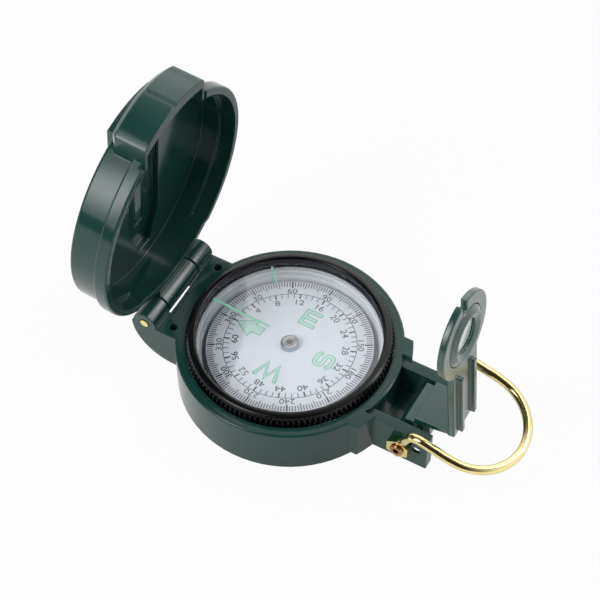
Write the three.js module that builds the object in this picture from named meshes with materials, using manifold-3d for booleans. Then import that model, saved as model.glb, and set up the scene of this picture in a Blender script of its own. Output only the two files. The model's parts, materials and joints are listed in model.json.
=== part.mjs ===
// A folding lensatic compass, shown open: moulded case, hinged cover, floating dial and rear sight.
// Units are millimetres and +Z is up. The case stands on z = 0 and is centred on the origin.
// The cover hinge lies toward -X, the rear sight and the thumb loop toward +X.
import * as THREE from 'three';
import { mergeVertices } from 'three/addons/utils/BufferGeometryUtils.js';
import Module from 'manifold-3d';

const wasm = await Module();
wasm.setup();

// Clearances
const FIT = 0.15; // between pieces seated on one another
const GAP = 0.3; // between pieces that move past one another
const BITE = 0.5; // how far two shapes of one piece run into each other

// Case
const CASE_RADIUS = 28.5;
const CASE_HEIGHT = 14.18;
const CASE_FLOOR = 2.0;
const CASE_FOOT_CHAMFER = 0.7;
const CASE_RIM_CHAMFER = 0.35;
const CASE_RIM_WALL = 1.6; // green ring left round the bezel
const BEZEL_SINK = 1.28; // how far the bezel sits below the case rim
const SPRING_SPACE = 1.5; // height left under the bezel for its spring

// Cover hinge
const HINGE_REACH = 5.2; // axis, outside the case wall
const HINGE_RISE = 0.92; // axis, above the case rim
const HINGE_HALF_WIDTH = 13.75;
const KNUCKLE_RADIUS = 3.2;
const KNUCKLE_SPLIT = 7.1; // half width of the gap for the cover's knuckle
const KNUCKLE_SLIT = 1.3; // gap between the knuckle and the case, open below
const KNUCKLE_STOP = 1.5; // height of the stop that closes half of that gap at the top
const HINGE_PIN_RADIUS = 1.1;
const HINGE_SWEEP = 11.5; // radius of the rounded underside of the hinge block
const HINGE_SWEEP_CENTRE = 7.7; // centre of that round, in from the axis
const SCREW_HOLE_RADIUS = 1.0;
const SCREW_HOLE_DEPTH = 4.0;
const SCREW_HOLE_IN = 6.5; // in from the hinge axis
const SCREW_HOLE_SIDE = 10.7;

// Rails and ears at the sight end
const RAIL_REACH = 14.8; // rail tip, outside the case wall
const RAIL_INNER = 7.05;
const RAIL_THICKNESS = 2.95;
const RAIL_BOTTOM = 2.0;
const RAIL_DROP = 1.08; // rail top, below the case rim
const RAIL_FLOOR = 1.5; // thickness of the floor between the rails, which ends under the axle
const RAIL_HOLE_RADIUS = 1.1;
const RAIL_HOLE_OUT = 4.2; // small drain hole, outside the axle
const RAIL_SKIN = 1.0; // wall left round the drain hole
const RAIL_CORE = 2.4; // half length of the hollow behind it
const EAR_THICKNESS = 2.05;
const EAR_HALF_WIDTH = 14.66;

// Axle shared by the rear sight and the thumb loop
const AXLE_REACH = 7.7; // outside the case wall
const AXLE_HEIGHT = 8.0;
const AXLE_RADIUS = 1.2;
const AXLE_WALL = 0.4;
const AXLE_FLANGE = 1.75;
const AXLE_FLANGE_THICKNESS = 0.5;

// Bezel
const BEZEL_HEIGHT = 4.37;
const BEZEL_WIDTH = 3.47; // tooth tip to inner edge
const BEZEL_CROWN_WIDTH = 2.13; // flat part of the top, inner edge to teeth
const BEZEL_CROWN_FALL = 0.43;
const BEZEL_SHOULDER = 2.2; // foot of the toothed slope, above the bezel's underside
const BEZEL_LIP = 1.67; // height of the lip that holds the crystal
const BEZEL_LIP_FLARE = 0.27;
const BEZEL_LIP_DEPTH = 1.22; // how far the lip reaches over the crystal
const TOOTH_COUNT = 120;
const TOOTH_DEPTH = 1.25;
const TOOTH_TIP_SHARE = 0.36; // part of the pitch taken by the flat tip
const SPRING_THICKNESS = 0.35;
const SPRING_WAVE = 0.28;
const SPRING_WAVES = 4;

// Crystal and its luminous lines
const CRYSTAL_THICKNESS = 1.0;
const LINE_INLAY = 0.25;
const LINE_PROUD = 0.05;
const LONG_LINE_WIDTH = 0.75;
const LONG_LINE_LENGTH = 16.6;
const LONG_LINE_ANGLE = 177.7;
const SHORT_LINE_WIDTH = 0.6;
const SHORT_LINE_LENGTH = 5.4;
const SHORT_LINE_ANGLE = 131.2;
const LINE_EDGE = 0.6; // line end, in from the lip

// Capsule
const CAPSULE_CLEARANCE = 0.4; // capsule to the bezel turning round it
const CAPSULE_WALL = 0.95;
const CAPSULE_FLOOR = 1.2;
const CAPSULE_LID = 0.8;
const SEAL_RADIUS = 0.22;
const SEAL_SQUEEZE = 0.1; // space left above and below the seal

// Dial and pivot
const DIAL_CLEARANCE = 2.1; // dial edge to the capsule wall
const DIAL_THICKNESS = 0.6;
const DIAL_DROP = 2.1; // dial face, below the capsule lid
const DIAL_TILT = 4.1; // as shown: the card floats a little out of level
const DIAL_TILT_TOWARD = -38.2; // direction of its raised edge
const DIAL_NORTH_ANGLE = 177.4;
const HUB_RADIUS = 2.2;
const HUB_FLANGE = 0.6;
const HUB_DOME = 0.25;
const HUB_STEM = 1.35;
const HUB_STEM_LENGTH = 2.6;
const HUB_BORE = 0.8;
const MAGNET_LENGTH = 30.0;
const MAGNET_WIDTH = 6.0;
const MAGNET_THICKNESS = 1.6;
const POST_BASE_RADIUS = 3.5;
const POST_BASE_HEIGHT = 0.8;
const POST_BOSS_RADIUS = 1.6;
const POST_BOSS_HEIGHT = 2.2;
const POST_NEEDLE_RADIUS = 0.45;
const POST_TIP = 0.6;

// Cover, described shut
const COVER_OPEN_ANGLE = 85.5; // as shown, from shut
const COVER_LIFT = 0.72; // rim, above the case rim
const COVER_HEIGHT = 10.8;
const COVER_RIM_OUT = 1.5; // rim band, outside the case wall
const COVER_RIM_HEIGHT = 3.5;
const COVER_RIM_STEP = 1.2; // rim band to main wall
const COVER_REBATE_IN = 0.5; // rebate inside the rim, in from the case wall
const COVER_REBATE_HEIGHT = 4.1;
const COVER_BORE_IN = 1.5; // inner wall, in from the case wall
const COVER_TOP = 2.1; // thickness of the top skin
const COVER_EDGE = 0.9; // round of the outer top edge
const COVER_EDGE_STEP = 0.27; // how far the middle of that round stays from both faces
const COVER_TRIM = 24.6; // the rim band stops this far toward the hinge
const ARM_HEIGHT = 3.4;
const HOOD_REACH = 6.8; // front of the hood, outside the case wall
const HOOD_ARC = 24.8; // radius of its front face
const HOOD_WALL = 3.4;
const HOOD_HALF_WIDTH = 12.5;
const HOOD_END_WALL = 0.8;
const HOOD_HEIGHT = 9.4;
const HOOD_DEPTH = 7.0;
const HOOD_EDGE = 1.3; // chamfer round the top
const HOOD_CORNER = 0.1; // cut of the upright corners at the top
const HOOD_NOTCH = 1.1; // small notch in the rim at each end of the hood
const HOOD_MARK_WIDTH = 0.8;
const HOOD_MARK_DEPTH = 0.35;
const HOOD_MARK_LENGTH = 7.5;
const CHANNEL_HALF_WIDTH = 6.5;
const CHANNEL_DEPTH = 1.8;
const CHANNEL_BEND = 12.0; // the channel narrows from here toward the hinge
const CHANNEL_END = 23.0;
const CHANNEL_END_HALF_WIDTH = 2.4;
const SPINE_WALL = 2.2;
const SPINE_RISE = 1.9;
const SPINE_EDGE = 0.3; // chamfer at the hood end
const SLOT_HALF_WIDTH = 1.8;
const SLOT_HALF_LENGTH = 15.0;
const WIRE_RADIUS = 0.3;
const WIRE_ANCHOR = 1.8;

// Rear sight, described upright and measured from the axle
const SIGHT_LEAN = 4.48; // as shown, toward the dial
const SIGHT_BARREL_RADIUS = 3.0;
const SIGHT_HALF_WIDTH = 6.2;
const SIGHT_FOLD_CLEARANCE = 0.85; // foot to case wall when folded
const SIGHT_PLATE_CLEARANCE = 1.57; // plate to bezel when folded
const FOOT_THICKNESS = 1.3;
const FOOT_ROOT = 2.4; // thickness at its axle end
const FOOT_START = 1.81;
const WEB_BACK = 0.8;
const WEB_FRONT = 5.4;
const WEB_INSET = 1.0; // web, in from the foot's sides
const WEB_DROP = 1.85; // web top, below the foot's top
const PLATE_THICKNESS = 1.81;
const PLATE_BEVEL = 0.25;
const EYE_HEIGHT = 37.88;
const EYE_RADIUS = 11.14;
const LENS_HOLE_RADIUS = 5.7;
const LENS_SEAT_RADIUS = 7.9;
const LENS_SEAT_DEPTH = 1.1;
const LENS_EDGE = 0.35;
const LENS_BULGE = 0.45; // toward the dial
const LENS_CROWN = 0.32; // toward the eye
const LENS_STEP_RADIUS = 3.05; // ring where the curve of both faces changes
const LENS_STEP_SHARE = 0.7; // part of the bulge reached there
const LENS_RING_INNER = 4.45;
const LENS_RING_INNER_RISE = 0.3; // inner edge, proud of the plate
const LENS_RING_CREST = 6.05; // radius of the ring's raised crest
const LENS_RING_RISE = 0.95; // crest, proud of the plate
const LENS_RING_ROUND = 0.16;
const NOTCH_HALF_WIDTH = 1.0;
const NOTCH_DEPTH = 2.5;
const RIB_SIDE = 3.2;
const RIB_WIDTH = 1.3;
const RIB_HEIGHT = 1.0;
const RIB_TOP = 25.8;

// Thumb loop, measured from the axle
const WIRE_LOOP_RADIUS = 0.93;
const EYELET_RADIUS = 3.2;
const EYELET_THICKNESS = 1.6;
const LOOP_LEG_START = 0.2; // where the wire leaves the eyelet, as a share of the way to the bend
const LOOP_LEG_LENGTH = 3.4; // straight part of the leg
const LOOP_CORNER_OUT = 4.3;
const LOOP_CORNER_RISE = 11.2;
const LOOP_CORNER_ROUND = 2.6;
const LOOP_CORNER_CUT = 0.65; // how far the wire passes inside the corner
const LOOP_SIDE = 13.3;
const LOOP_STRAIGHT = 10.5;
const LOOP_STRAIGHT_STEP = 6.3; // a point on the straight side
const LOOP_DROOP = 15.9; // fall of the ring, in degrees

// Smoothness
const RING_SEGMENTS = 72;
const INNER_SEGMENTS = 60;
const HIDDEN_SEGMENTS = 48;
const SMALL_SEGMENTS = 24;
const PLATE_SEGMENTS = 12; // per half turn
const EYE_SEGMENTS = 40;
const WIRE_SEGMENTS = 5; // per half turn
const WIRE_STEPS = 60;
const LOOP_QUARTER_STEPS = 5;
const HOLE_SEGMENTS = 16;
const FINE_WIRE_SEGMENTS = 12;
const SEAL_CORNERS = 6;
const EYELET_CORNERS = 6; // the eyelets are hexagonal

// Derived places
const bezelRecessRadius = CASE_RADIUS - CASE_RIM_WALL;
const bezelRadius = bezelRecessRadius - GAP;
const bezelInnerRadius = bezelRadius - BEZEL_WIDTH;
const bezelBoreRadius = bezelInnerRadius + BEZEL_LIP_DEPTH;
const bezelBottom = CASE_HEIGHT - BEZEL_SINK;
const bezelTop = bezelBottom + BEZEL_HEIGHT;
const ledgeHeight = bezelBottom - SPRING_SPACE;
const capsuleRadius = bezelBoreRadius - CAPSULE_CLEARANCE;
const caseBoreRadius = capsuleRadius + FIT;
const dialRadius = capsuleRadius - CAPSULE_WALL - DIAL_CLEARANCE;
const crystalRadius = bezelBoreRadius - FIT;
const crystalTop = bezelTop - BEZEL_LIP - FIT;
const crystalBottom = crystalTop - CRYSTAL_THICKNESS;
const capsuleLidTop = crystalBottom - GAP;
const capsuleLidBottom = capsuleLidTop - CAPSULE_LID;
const sealHeight = capsuleLidBottom - SEAL_SQUEEZE - SEAL_RADIUS;
const capsuleRim = sealHeight - SEAL_RADIUS - SEAL_SQUEEZE;
const capsuleBottom = CASE_FLOOR + FIT;
const capsuleFloorTop = capsuleBottom + CAPSULE_FLOOR;
const dialTop = capsuleLidBottom - DIAL_DROP;
const dialBottom = dialTop - DIAL_THICKNESS;
const hubFlangeBottom = dialTop + FIT;
const hubStemBottom = hubFlangeBottom - HUB_STEM_LENGTH;
const needleTip = hubFlangeBottom - 2 * GAP;
const hingeX = -CASE_RADIUS - HINGE_REACH;
const hingeZ = CASE_HEIGHT + HINGE_RISE;
const axleX = CASE_RADIUS + AXLE_REACH;
const railOuter = RAIL_INNER + RAIL_THICKNESS;
const railTop = CASE_HEIGHT - RAIL_DROP;
const eyeletInner = railOuter + GAP;
const eyeletOuter = eyeletInner + EYELET_THICKNESS;
const axleHalfLength = eyeletOuter + FIT + AXLE_FLANGE_THICKNESS;
const coverRim = CASE_HEIGHT + COVER_LIFT;
const coverTop = coverRim + COVER_HEIGHT;
const coverCeiling = coverTop - COVER_TOP;
const coverRimRadius = CASE_RADIUS + COVER_RIM_OUT;
const coverWallRadius = coverRimRadius - COVER_RIM_STEP;
const coverRebateRadius = CASE_RADIUS - COVER_REBATE_IN;
const coverBoreRadius = CASE_RADIUS - COVER_BORE_IN;
const hoodFront = CASE_RADIUS + HOOD_REACH;
const hoodInnerRadius = hoodFront - HOOD_WALL;
const channelFloor = coverCeiling + CHANNEL_DEPTH;
const spineTop = coverTop + SPINE_RISE;
const footTop = AXLE_REACH - SIGHT_FOLD_CLEARANCE;
const plateInner = bezelTop - AXLE_HEIGHT + SIGHT_PLATE_CLEARANCE;
const plateOuter = plateInner + PLATE_THICKNESS;

const rad = THREE.MathUtils.degToRad;

// Turns a three.js geometry into a solid for cutting and joining.
function solid(geometry) {
  geometry.deleteAttribute('normal');
  geometry.deleteAttribute('uv');
  const merged = mergeVertices(geometry, 1e-4);
  const mesh = new wasm.Mesh({
    numProp: 3,
    vertProperties: new Float32Array(merged.attributes.position.array),
    triVerts: new Uint32Array(merged.index.array),
  });
  return new wasm.Manifold(mesh);
}

// Turns a solid back into a geometry with normals.
function geometryOf(body) {
  const mesh = body.getMesh();
  const geometry = new THREE.BufferGeometry();
  geometry.setAttribute('position', new THREE.BufferAttribute(new Float32Array(mesh.vertProperties), 3));
  geometry.setIndex(new THREE.BufferAttribute(new Uint32Array(mesh.triVerts), 1));
  geometry.computeVertexNormals();
  return geometry;
}

// A body turned about Z from a profile of [radius, height] pairs, listed counter-clockwise.
function turned(profile, segments = RING_SEGMENTS) {
  const points = profile.map(([radius, height]) => new THREE.Vector2(radius, height));
  const geometry = new THREE.LatheGeometry(points, segments);
  geometry.rotateX(Math.PI / 2);
  return solid(geometry);
}

// A ring turned about Z: the profile closes on itself.
function turnedRing(profile, segments = RING_SEGMENTS) {
  return turned([...profile, profile[0]], segments);
}

function disc(radius, bottom, top, segments = RING_SEGMENTS) {
  return turned([[0, bottom], [radius, bottom], [radius, top], [0, top]], segments);
}

function block(x0, x1, y0, y1, z0, z1) {
  const geometry = new THREE.BoxGeometry(x1 - x0, y1 - y0, z1 - z0);
  geometry.translate((x0 + x1) / 2, (y0 + y1) / 2, (z0 + z1) / 2);
  return solid(geometry);
}

function rodAlongY(x, z, radius, y0, y1, segments = SMALL_SEGMENTS) {
  const geometry = new THREE.CylinderGeometry(radius, radius, y1 - y0, segments);
  geometry.translate(x, (y0 + y1) / 2, z);
  return solid(geometry);
}

function rodAlongX(y, z, radius, x0, x1, segments = SMALL_SEGMENTS) {
  const geometry = new THREE.CylinderGeometry(radius, radius, x1 - x0, segments);
  geometry.rotateZ(Math.PI / 2);
  geometry.translate((x0 + x1) / 2, y, z);
  return solid(geometry);
}

function polygon(points) {
  return new THREE.Shape(points.map(([a, b]) => new THREE.Vector2(a, b)));
}

// A shape drawn in XY, raised from z0 to z1.
function prismZ(shape, z0, z1, curveSegments = SMALL_SEGMENTS) {
  const geometry = new THREE.ExtrudeGeometry(shape, { depth: z1 - z0, bevelEnabled: false, curveSegments });
  geometry.translate(0, 0, z0);
  return solid(geometry);
}

// A shape drawn in XZ, drawn out between y0 and y1.
function prismY(shape, y0, y1, curveSegments = SMALL_SEGMENTS) {
  const geometry = new THREE.ExtrudeGeometry(shape, { depth: y1 - y0, bevelEnabled: false, curveSegments });
  geometry.rotateX(Math.PI / 2);
  geometry.translate(0, y1, 0);
  return solid(geometry);
}

function mirroredY(make) {
  return make(1).add(make(-1));
}

// A block between two distances from the XZ plane, on the +Y or the -Y side.
function sideBlock(side, x0, x1, near, far, z0, z1) {
  const y0 = side > 0 ? near : -far;
  const y1 = side > 0 ? far : -near;
  return block(x0, x1, y0, y1, z0, z1);
}

function buildCase() {
  const wall = turned([
    [0, 0],
    [CASE_RADIUS - CASE_FOOT_CHAMFER, 0],
    [CASE_RADIUS, CASE_FOOT_CHAMFER],
    [CASE_RADIUS, CASE_HEIGHT - CASE_RIM_CHAMFER],
    [CASE_RADIUS - CASE_RIM_CHAMFER, CASE_HEIGHT],
    [0, CASE_HEIGHT],
  ]);
  const sweepX = hingeX + HINGE_SWEEP_CENTRE;
  const hingeProfile = new THREE.Shape();
  hingeProfile.moveTo(sweepX - HINGE_SWEEP, CASE_HEIGHT);
  hingeProfile.absarc(sweepX, CASE_HEIGHT, HINGE_SWEEP, Math.PI, Math.PI * 1.5, false);
  hingeProfile.lineTo(-capsuleRadius / 2, CASE_HEIGHT - HINGE_SWEEP);
  hingeProfile.lineTo(-capsuleRadius / 2, CASE_HEIGHT);
  const hingeBlock = prismY(hingeProfile, -HINGE_HALF_WIDTH, HINGE_HALF_WIDTH, PLATE_SEGMENTS);
  const barrel = rodAlongY(hingeX, hingeZ, KNUCKLE_RADIUS, -HINGE_HALF_WIDTH, HINGE_HALF_WIDTH);
  const rails = mirroredY((side) =>
    sideBlock(side, capsuleRadius / 2, CASE_RADIUS + RAIL_REACH, RAIL_INNER, railOuter,
      RAIL_BOTTOM, railTop));
  const railFloor = block(capsuleRadius / 2, axleX, -RAIL_INNER - BITE, RAIL_INNER + BITE,
    RAIL_BOTTOM, RAIL_BOTTOM + RAIL_FLOOR);
  const earRing = disc(CASE_RADIUS + EAR_THICKNESS, RAIL_BOTTOM, CASE_HEIGHT);
  const ears = mirroredY((side) =>
    sideBlock(side, capsuleRadius / 2, CASE_RADIUS + RAIL_REACH, railOuter - GAP, EAR_HALF_WIDTH,
      RAIL_BOTTOM, CASE_HEIGHT)).intersect(earRing);

  const bore = turned([
    [0, CASE_FLOOR],
    [caseBoreRadius, CASE_FLOOR],
    [caseBoreRadius, ledgeHeight],
    [bezelRecessRadius, ledgeHeight],
    [bezelRecessRadius, CASE_HEIGHT + BITE],
    [0, CASE_HEIGHT + BITE],
  ]);
  const swing = KNUCKLE_RADIUS + BITE;
  const knuckleRoom = rodAlongY(hingeX, hingeZ, swing, -KNUCKLE_SPLIT, KNUCKLE_SPLIT);
  const armRoom = block(hingeX - HINGE_SWEEP, hingeX, -KNUCKLE_SPLIT, KNUCKLE_SPLIT,
    hingeZ - swing, hingeZ + swing);
  const slitEnd = hingeX + KNUCKLE_RADIUS + KNUCKLE_SLIT;
  const slitLow = block(hingeX - HINGE_SWEEP, slitEnd, -KNUCKLE_SPLIT, KNUCKLE_SPLIT,
    0, CASE_HEIGHT - KNUCKLE_STOP);
  const slitRoom = slitLow.add(block(hingeX - HINGE_SWEEP, slitEnd, -KNUCKLE_SPLIT, 0, 0, hingeZ));
  const pinBore = rodAlongY(hingeX, hingeZ, HINGE_PIN_RADIUS + FIT,
    -HINGE_HALF_WIDTH - BITE, HINGE_HALF_WIDTH + BITE);
  const axleBore = rodAlongY(axleX, AXLE_HEIGHT, AXLE_RADIUS + FIT, -railOuter - BITE, railOuter + BITE);
  const drainBore = rodAlongY(axleX + RAIL_HOLE_OUT, AXLE_HEIGHT, RAIL_HOLE_RADIUS,
    -railOuter - BITE, railOuter + BITE, HOLE_SEGMENTS);
  const railCores = mirroredY((side) => sideBlock(side, axleX + RAIL_HOLE_OUT - RAIL_CORE,
    axleX + RAIL_HOLE_OUT + RAIL_CORE, RAIL_INNER - BITE, railOuter - RAIL_SKIN,
    RAIL_BOTTOM - BITE, AXLE_HEIGHT + RAIL_HOLE_RADIUS + GAP));
  const screwHoles = mirroredY((side) => {
    const hole = new THREE.CylinderGeometry(SCREW_HOLE_RADIUS, SCREW_HOLE_RADIUS, SCREW_HOLE_DEPTH,
      HOLE_SEGMENTS);
    hole.rotateX(Math.PI / 2);
    hole.translate(hingeX + SCREW_HOLE_IN, side * SCREW_HOLE_SIDE, CASE_HEIGHT - SCREW_HOLE_DEPTH / 2 + BITE);
    return solid(hole);
  });

  return [hingeBlock, barrel, rails, railFloor, ears]
    .reduce((body, piece) => body.add(piece), wall)
    .subtract(bore)
    .subtract(knuckleRoom)
    .subtract(armRoom)
    .subtract(slitRoom)
    .subtract(pinBore)
    .subtract(axleBore)
    .subtract(drainBore)
    .subtract(railCores)
    .subtract(screwHoles);
}

function buildHingePin() {
  const half = HINGE_HALF_WIDTH + FIT;
  return rodAlongY(hingeX, hingeZ, HINGE_PIN_RADIUS, -half, half);
}

function buildBezel() {
  const crownRadius = bezelInnerRadius + BEZEL_CROWN_WIDTH;
  const ring = turnedRing([
    [bezelBoreRadius, bezelBottom],
    [bezelRadius, bezelBottom],
    [bezelRadius, bezelBottom + BEZEL_SHOULDER],
    [crownRadius, bezelTop - BEZEL_CROWN_FALL],
    [bezelInnerRadius, bezelTop],
    [bezelInnerRadius + BEZEL_LIP_FLARE, bezelTop - BEZEL_LIP],
    [bezelBoreRadius, bezelTop - BEZEL_LIP],
  ], TOOTH_COUNT / 2);
  const pitch = (2 * Math.PI) / TOOTH_COUNT;
  const tipRadius = bezelRadius + BITE;
  const rootRadius = bezelRadius - TOOTH_DEPTH;
  const outline = [];
  for (let tooth = 0; tooth < TOOTH_COUNT; tooth += 1) {
    const start = tooth * pitch;
    const end = start + TOOTH_TIP_SHARE * pitch;
    const root = (end + start + pitch) / 2;
    outline.push([tipRadius * Math.cos(start), tipRadius * Math.sin(start)]);
    outline.push([tipRadius * Math.cos(end), tipRadius * Math.sin(end)]);
    outline.push([rootRadius * Math.cos(root), rootRadius * Math.sin(root)]);
  }
  const teeth = prismZ(polygon(outline), bezelBottom - BITE, bezelTop + BITE);
  return ring.intersect(teeth);
}

function buildBezelSpring() {
  const inner = caseBoreRadius + BITE;
  const outer = bezelRadius - GAP;
  const middle = ledgeHeight + SPRING_SPACE / 2;
  const half = SPRING_THICKNESS / 2;
  const profile = [
    [inner, middle - half],
    [outer, middle - half],
    [outer, middle + half],
    [inner, middle + half],
    [inner, middle - half],
  ];
  const geometry = new THREE.LatheGeometry(profile.map(([r, z]) => new THREE.Vector2(r, z)), HIDDEN_SEGMENTS);
  geometry.rotateX(Math.PI / 2);
  const place = geometry.attributes.position;
  for (let i = 0; i < place.count; i += 1) {
    const angle = Math.atan2(place.getY(i), place.getX(i));
    place.setZ(i, place.getZ(i) + SPRING_WAVE * Math.cos(SPRING_WAVES * angle));
  }
  return solid(geometry);
}

// A bar that runs inward from the lip along a radius of the crystal.
function radialBar(width, length, angle, bottom, top, slack) {
  const outer = bezelInnerRadius - LINE_EDGE + slack;
  const inner = bezelInnerRadius - LINE_EDGE - length - slack;
  const half = width / 2 + slack;
  const geometry = new THREE.BoxGeometry(outer - inner, 2 * half, top - bottom);
  geometry.translate((outer + inner) / 2, 0, (top + bottom) / 2);
  geometry.rotateZ(rad(angle));
  return solid(geometry);
}

function longLine(bottom, top, slack) {
  return radialBar(LONG_LINE_WIDTH, LONG_LINE_LENGTH, LONG_LINE_ANGLE, bottom, top, slack);
}

function shortLine(bottom, top, slack) {
  return radialBar(SHORT_LINE_WIDTH, SHORT_LINE_LENGTH, SHORT_LINE_ANGLE, bottom, top, slack);
}

function buildCrystal() {
  const floor = crystalTop - LINE_INLAY - FIT / 2;
  return disc(crystalRadius, crystalBottom, crystalTop, INNER_SEGMENTS)
    .subtract(longLine(floor, crystalTop + BITE, FIT / 2))
    .subtract(shortLine(floor, crystalTop + BITE, FIT / 2));
}

function buildCapsuleCup() {
  const inner = capsuleRadius - CAPSULE_WALL;
  return turned([
    [0, capsuleBottom],
    [capsuleRadius, capsuleBottom],
    [capsuleRadius, capsuleRim],
    [inner, capsuleRim],
    [inner, capsuleFloorTop],
    [0, capsuleFloorTop],
  ], INNER_SEGMENTS);
}

function buildCapsuleSeal() {
  const middle = capsuleRadius - CAPSULE_WALL / 2;
  const profile = [];
  for (let corner = 0; corner < SEAL_CORNERS; corner += 1) {
    const angle = (corner / SEAL_CORNERS) * 2 * Math.PI;
    profile.push([middle + SEAL_RADIUS * Math.cos(angle), sealHeight + SEAL_RADIUS * Math.sin(angle)]);
  }
  return turnedRing(profile, HIDDEN_SEGMENTS);
}

function buildPivotPost() {
  const base = capsuleFloorTop + FIT;
  return turned([
    [0, base],
    [POST_BASE_RADIUS, base],
    [POST_BASE_RADIUS, base + POST_BASE_HEIGHT],
    [POST_BOSS_RADIUS, base + POST_BASE_HEIGHT],
    [POST_BOSS_RADIUS, base + POST_BOSS_HEIGHT],
    [POST_NEEDLE_RADIUS, base + POST_BOSS_HEIGHT + POST_BOSS_RADIUS],
    [POST_NEEDLE_RADIUS, needleTip - POST_TIP],
    [0, needleTip],
  ], SMALL_SEGMENTS);
}

function buildDialCard() {
  return disc(dialRadius, dialBottom, dialTop, INNER_SEGMENTS)
    .subtract(disc(HUB_STEM + FIT, dialBottom - BITE, dialTop + BITE, SMALL_SEGMENTS));
}

function buildDialMagnet() {
  const top = dialBottom - FIT;
  const bar = new THREE.BoxGeometry(MAGNET_LENGTH, MAGNET_WIDTH, MAGNET_THICKNESS);
  bar.rotateZ(rad(DIAL_NORTH_ANGLE));
  bar.translate(0, 0, top - MAGNET_THICKNESS / 2);
  return solid(bar).subtract(disc(HUB_STEM + FIT, top - MAGNET_THICKNESS - BITE, top + BITE, SMALL_SEGMENTS));
}

function buildDialHub() {
  const flangeTop = hubFlangeBottom + HUB_FLANGE;
  return turned([
    [0, hubFlangeBottom - GAP],
    [HUB_BORE, needleTip],
    [HUB_BORE, hubStemBottom],
    [HUB_STEM, hubStemBottom],
    [HUB_STEM, hubFlangeBottom],
    [HUB_RADIUS, hubFlangeBottom],
    [HUB_RADIUS, flangeTop - HUB_DOME],
    [HUB_RADIUS - HUB_DOME, flangeTop],
    [HUB_RADIUS / 2, flangeTop + HUB_DOME],
    [0, flangeTop + HUB_DOME],
  ], SMALL_SEGMENTS);
}

// An outline in XY between two half widths, straight toward the hood and narrowing toward the hinge.
function channelOutline(halfWidth, endHalfWidth, start, end) {
  return polygon([
    [start, -halfWidth],
    [start, halfWidth],
    [-CHANNEL_BEND, halfWidth],
    [-end, endHalfWidth],
    [-end, -endHalfWidth],
    [-CHANNEL_BEND, -halfWidth],
  ].reverse());
}

// The hood: an arched front between two straight sides, with a broad chamfer round its top.
function buildHood() {
  const half = HOOD_HALF_WIDTH - HOOD_EDGE;
  const radius = HOOD_ARC - HOOD_EDGE;
  const centre = hoodFront - HOOD_ARC;
  const turn = Math.asin((half - HOOD_CORNER) / radius);
  const side = centre + radius * Math.cos(turn) - HOOD_CORNER;
  const plan = new THREE.Shape();
  plan.moveTo(coverBoreRadius / 2, -half);
  plan.lineTo(side, -half);
  plan.absarc(centre, 0, radius, -turn, turn, false);
  plan.lineTo(side, half);
  plan.lineTo(coverBoreRadius / 2, half);
  const geometry = new THREE.ExtrudeGeometry(plan, {
    depth: HOOD_HEIGHT - HOOD_EDGE,
    bevelEnabled: true,
    bevelSegments: 1,
    bevelSize: HOOD_EDGE,
    bevelThickness: HOOD_EDGE,
    curveSegments: SMALL_SEGMENTS / 2,
  });
  geometry.translate(0, 0, coverRim);
  const belowRim = block(0, hoodFront + BITE, -HOOD_HALF_WIDTH - BITE, HOOD_HALF_WIDTH + BITE,
    coverRim - HOOD_EDGE - BITE, coverRim);
  return solid(geometry).subtract(belowRim);
}

// The room inside the hood for the folded sight.
function buildHoodRoom() {
  const half = HOOD_HALF_WIDTH - HOOD_END_WALL;
  const bottom = coverRim - BITE;
  const top = coverRim + HOOD_DEPTH;
  return disc(hoodInnerRadius, bottom, top)
    .intersect(block(coverBoreRadius / 2, hoodFront, -half, half, bottom - BITE, top + BITE));
}

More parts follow.
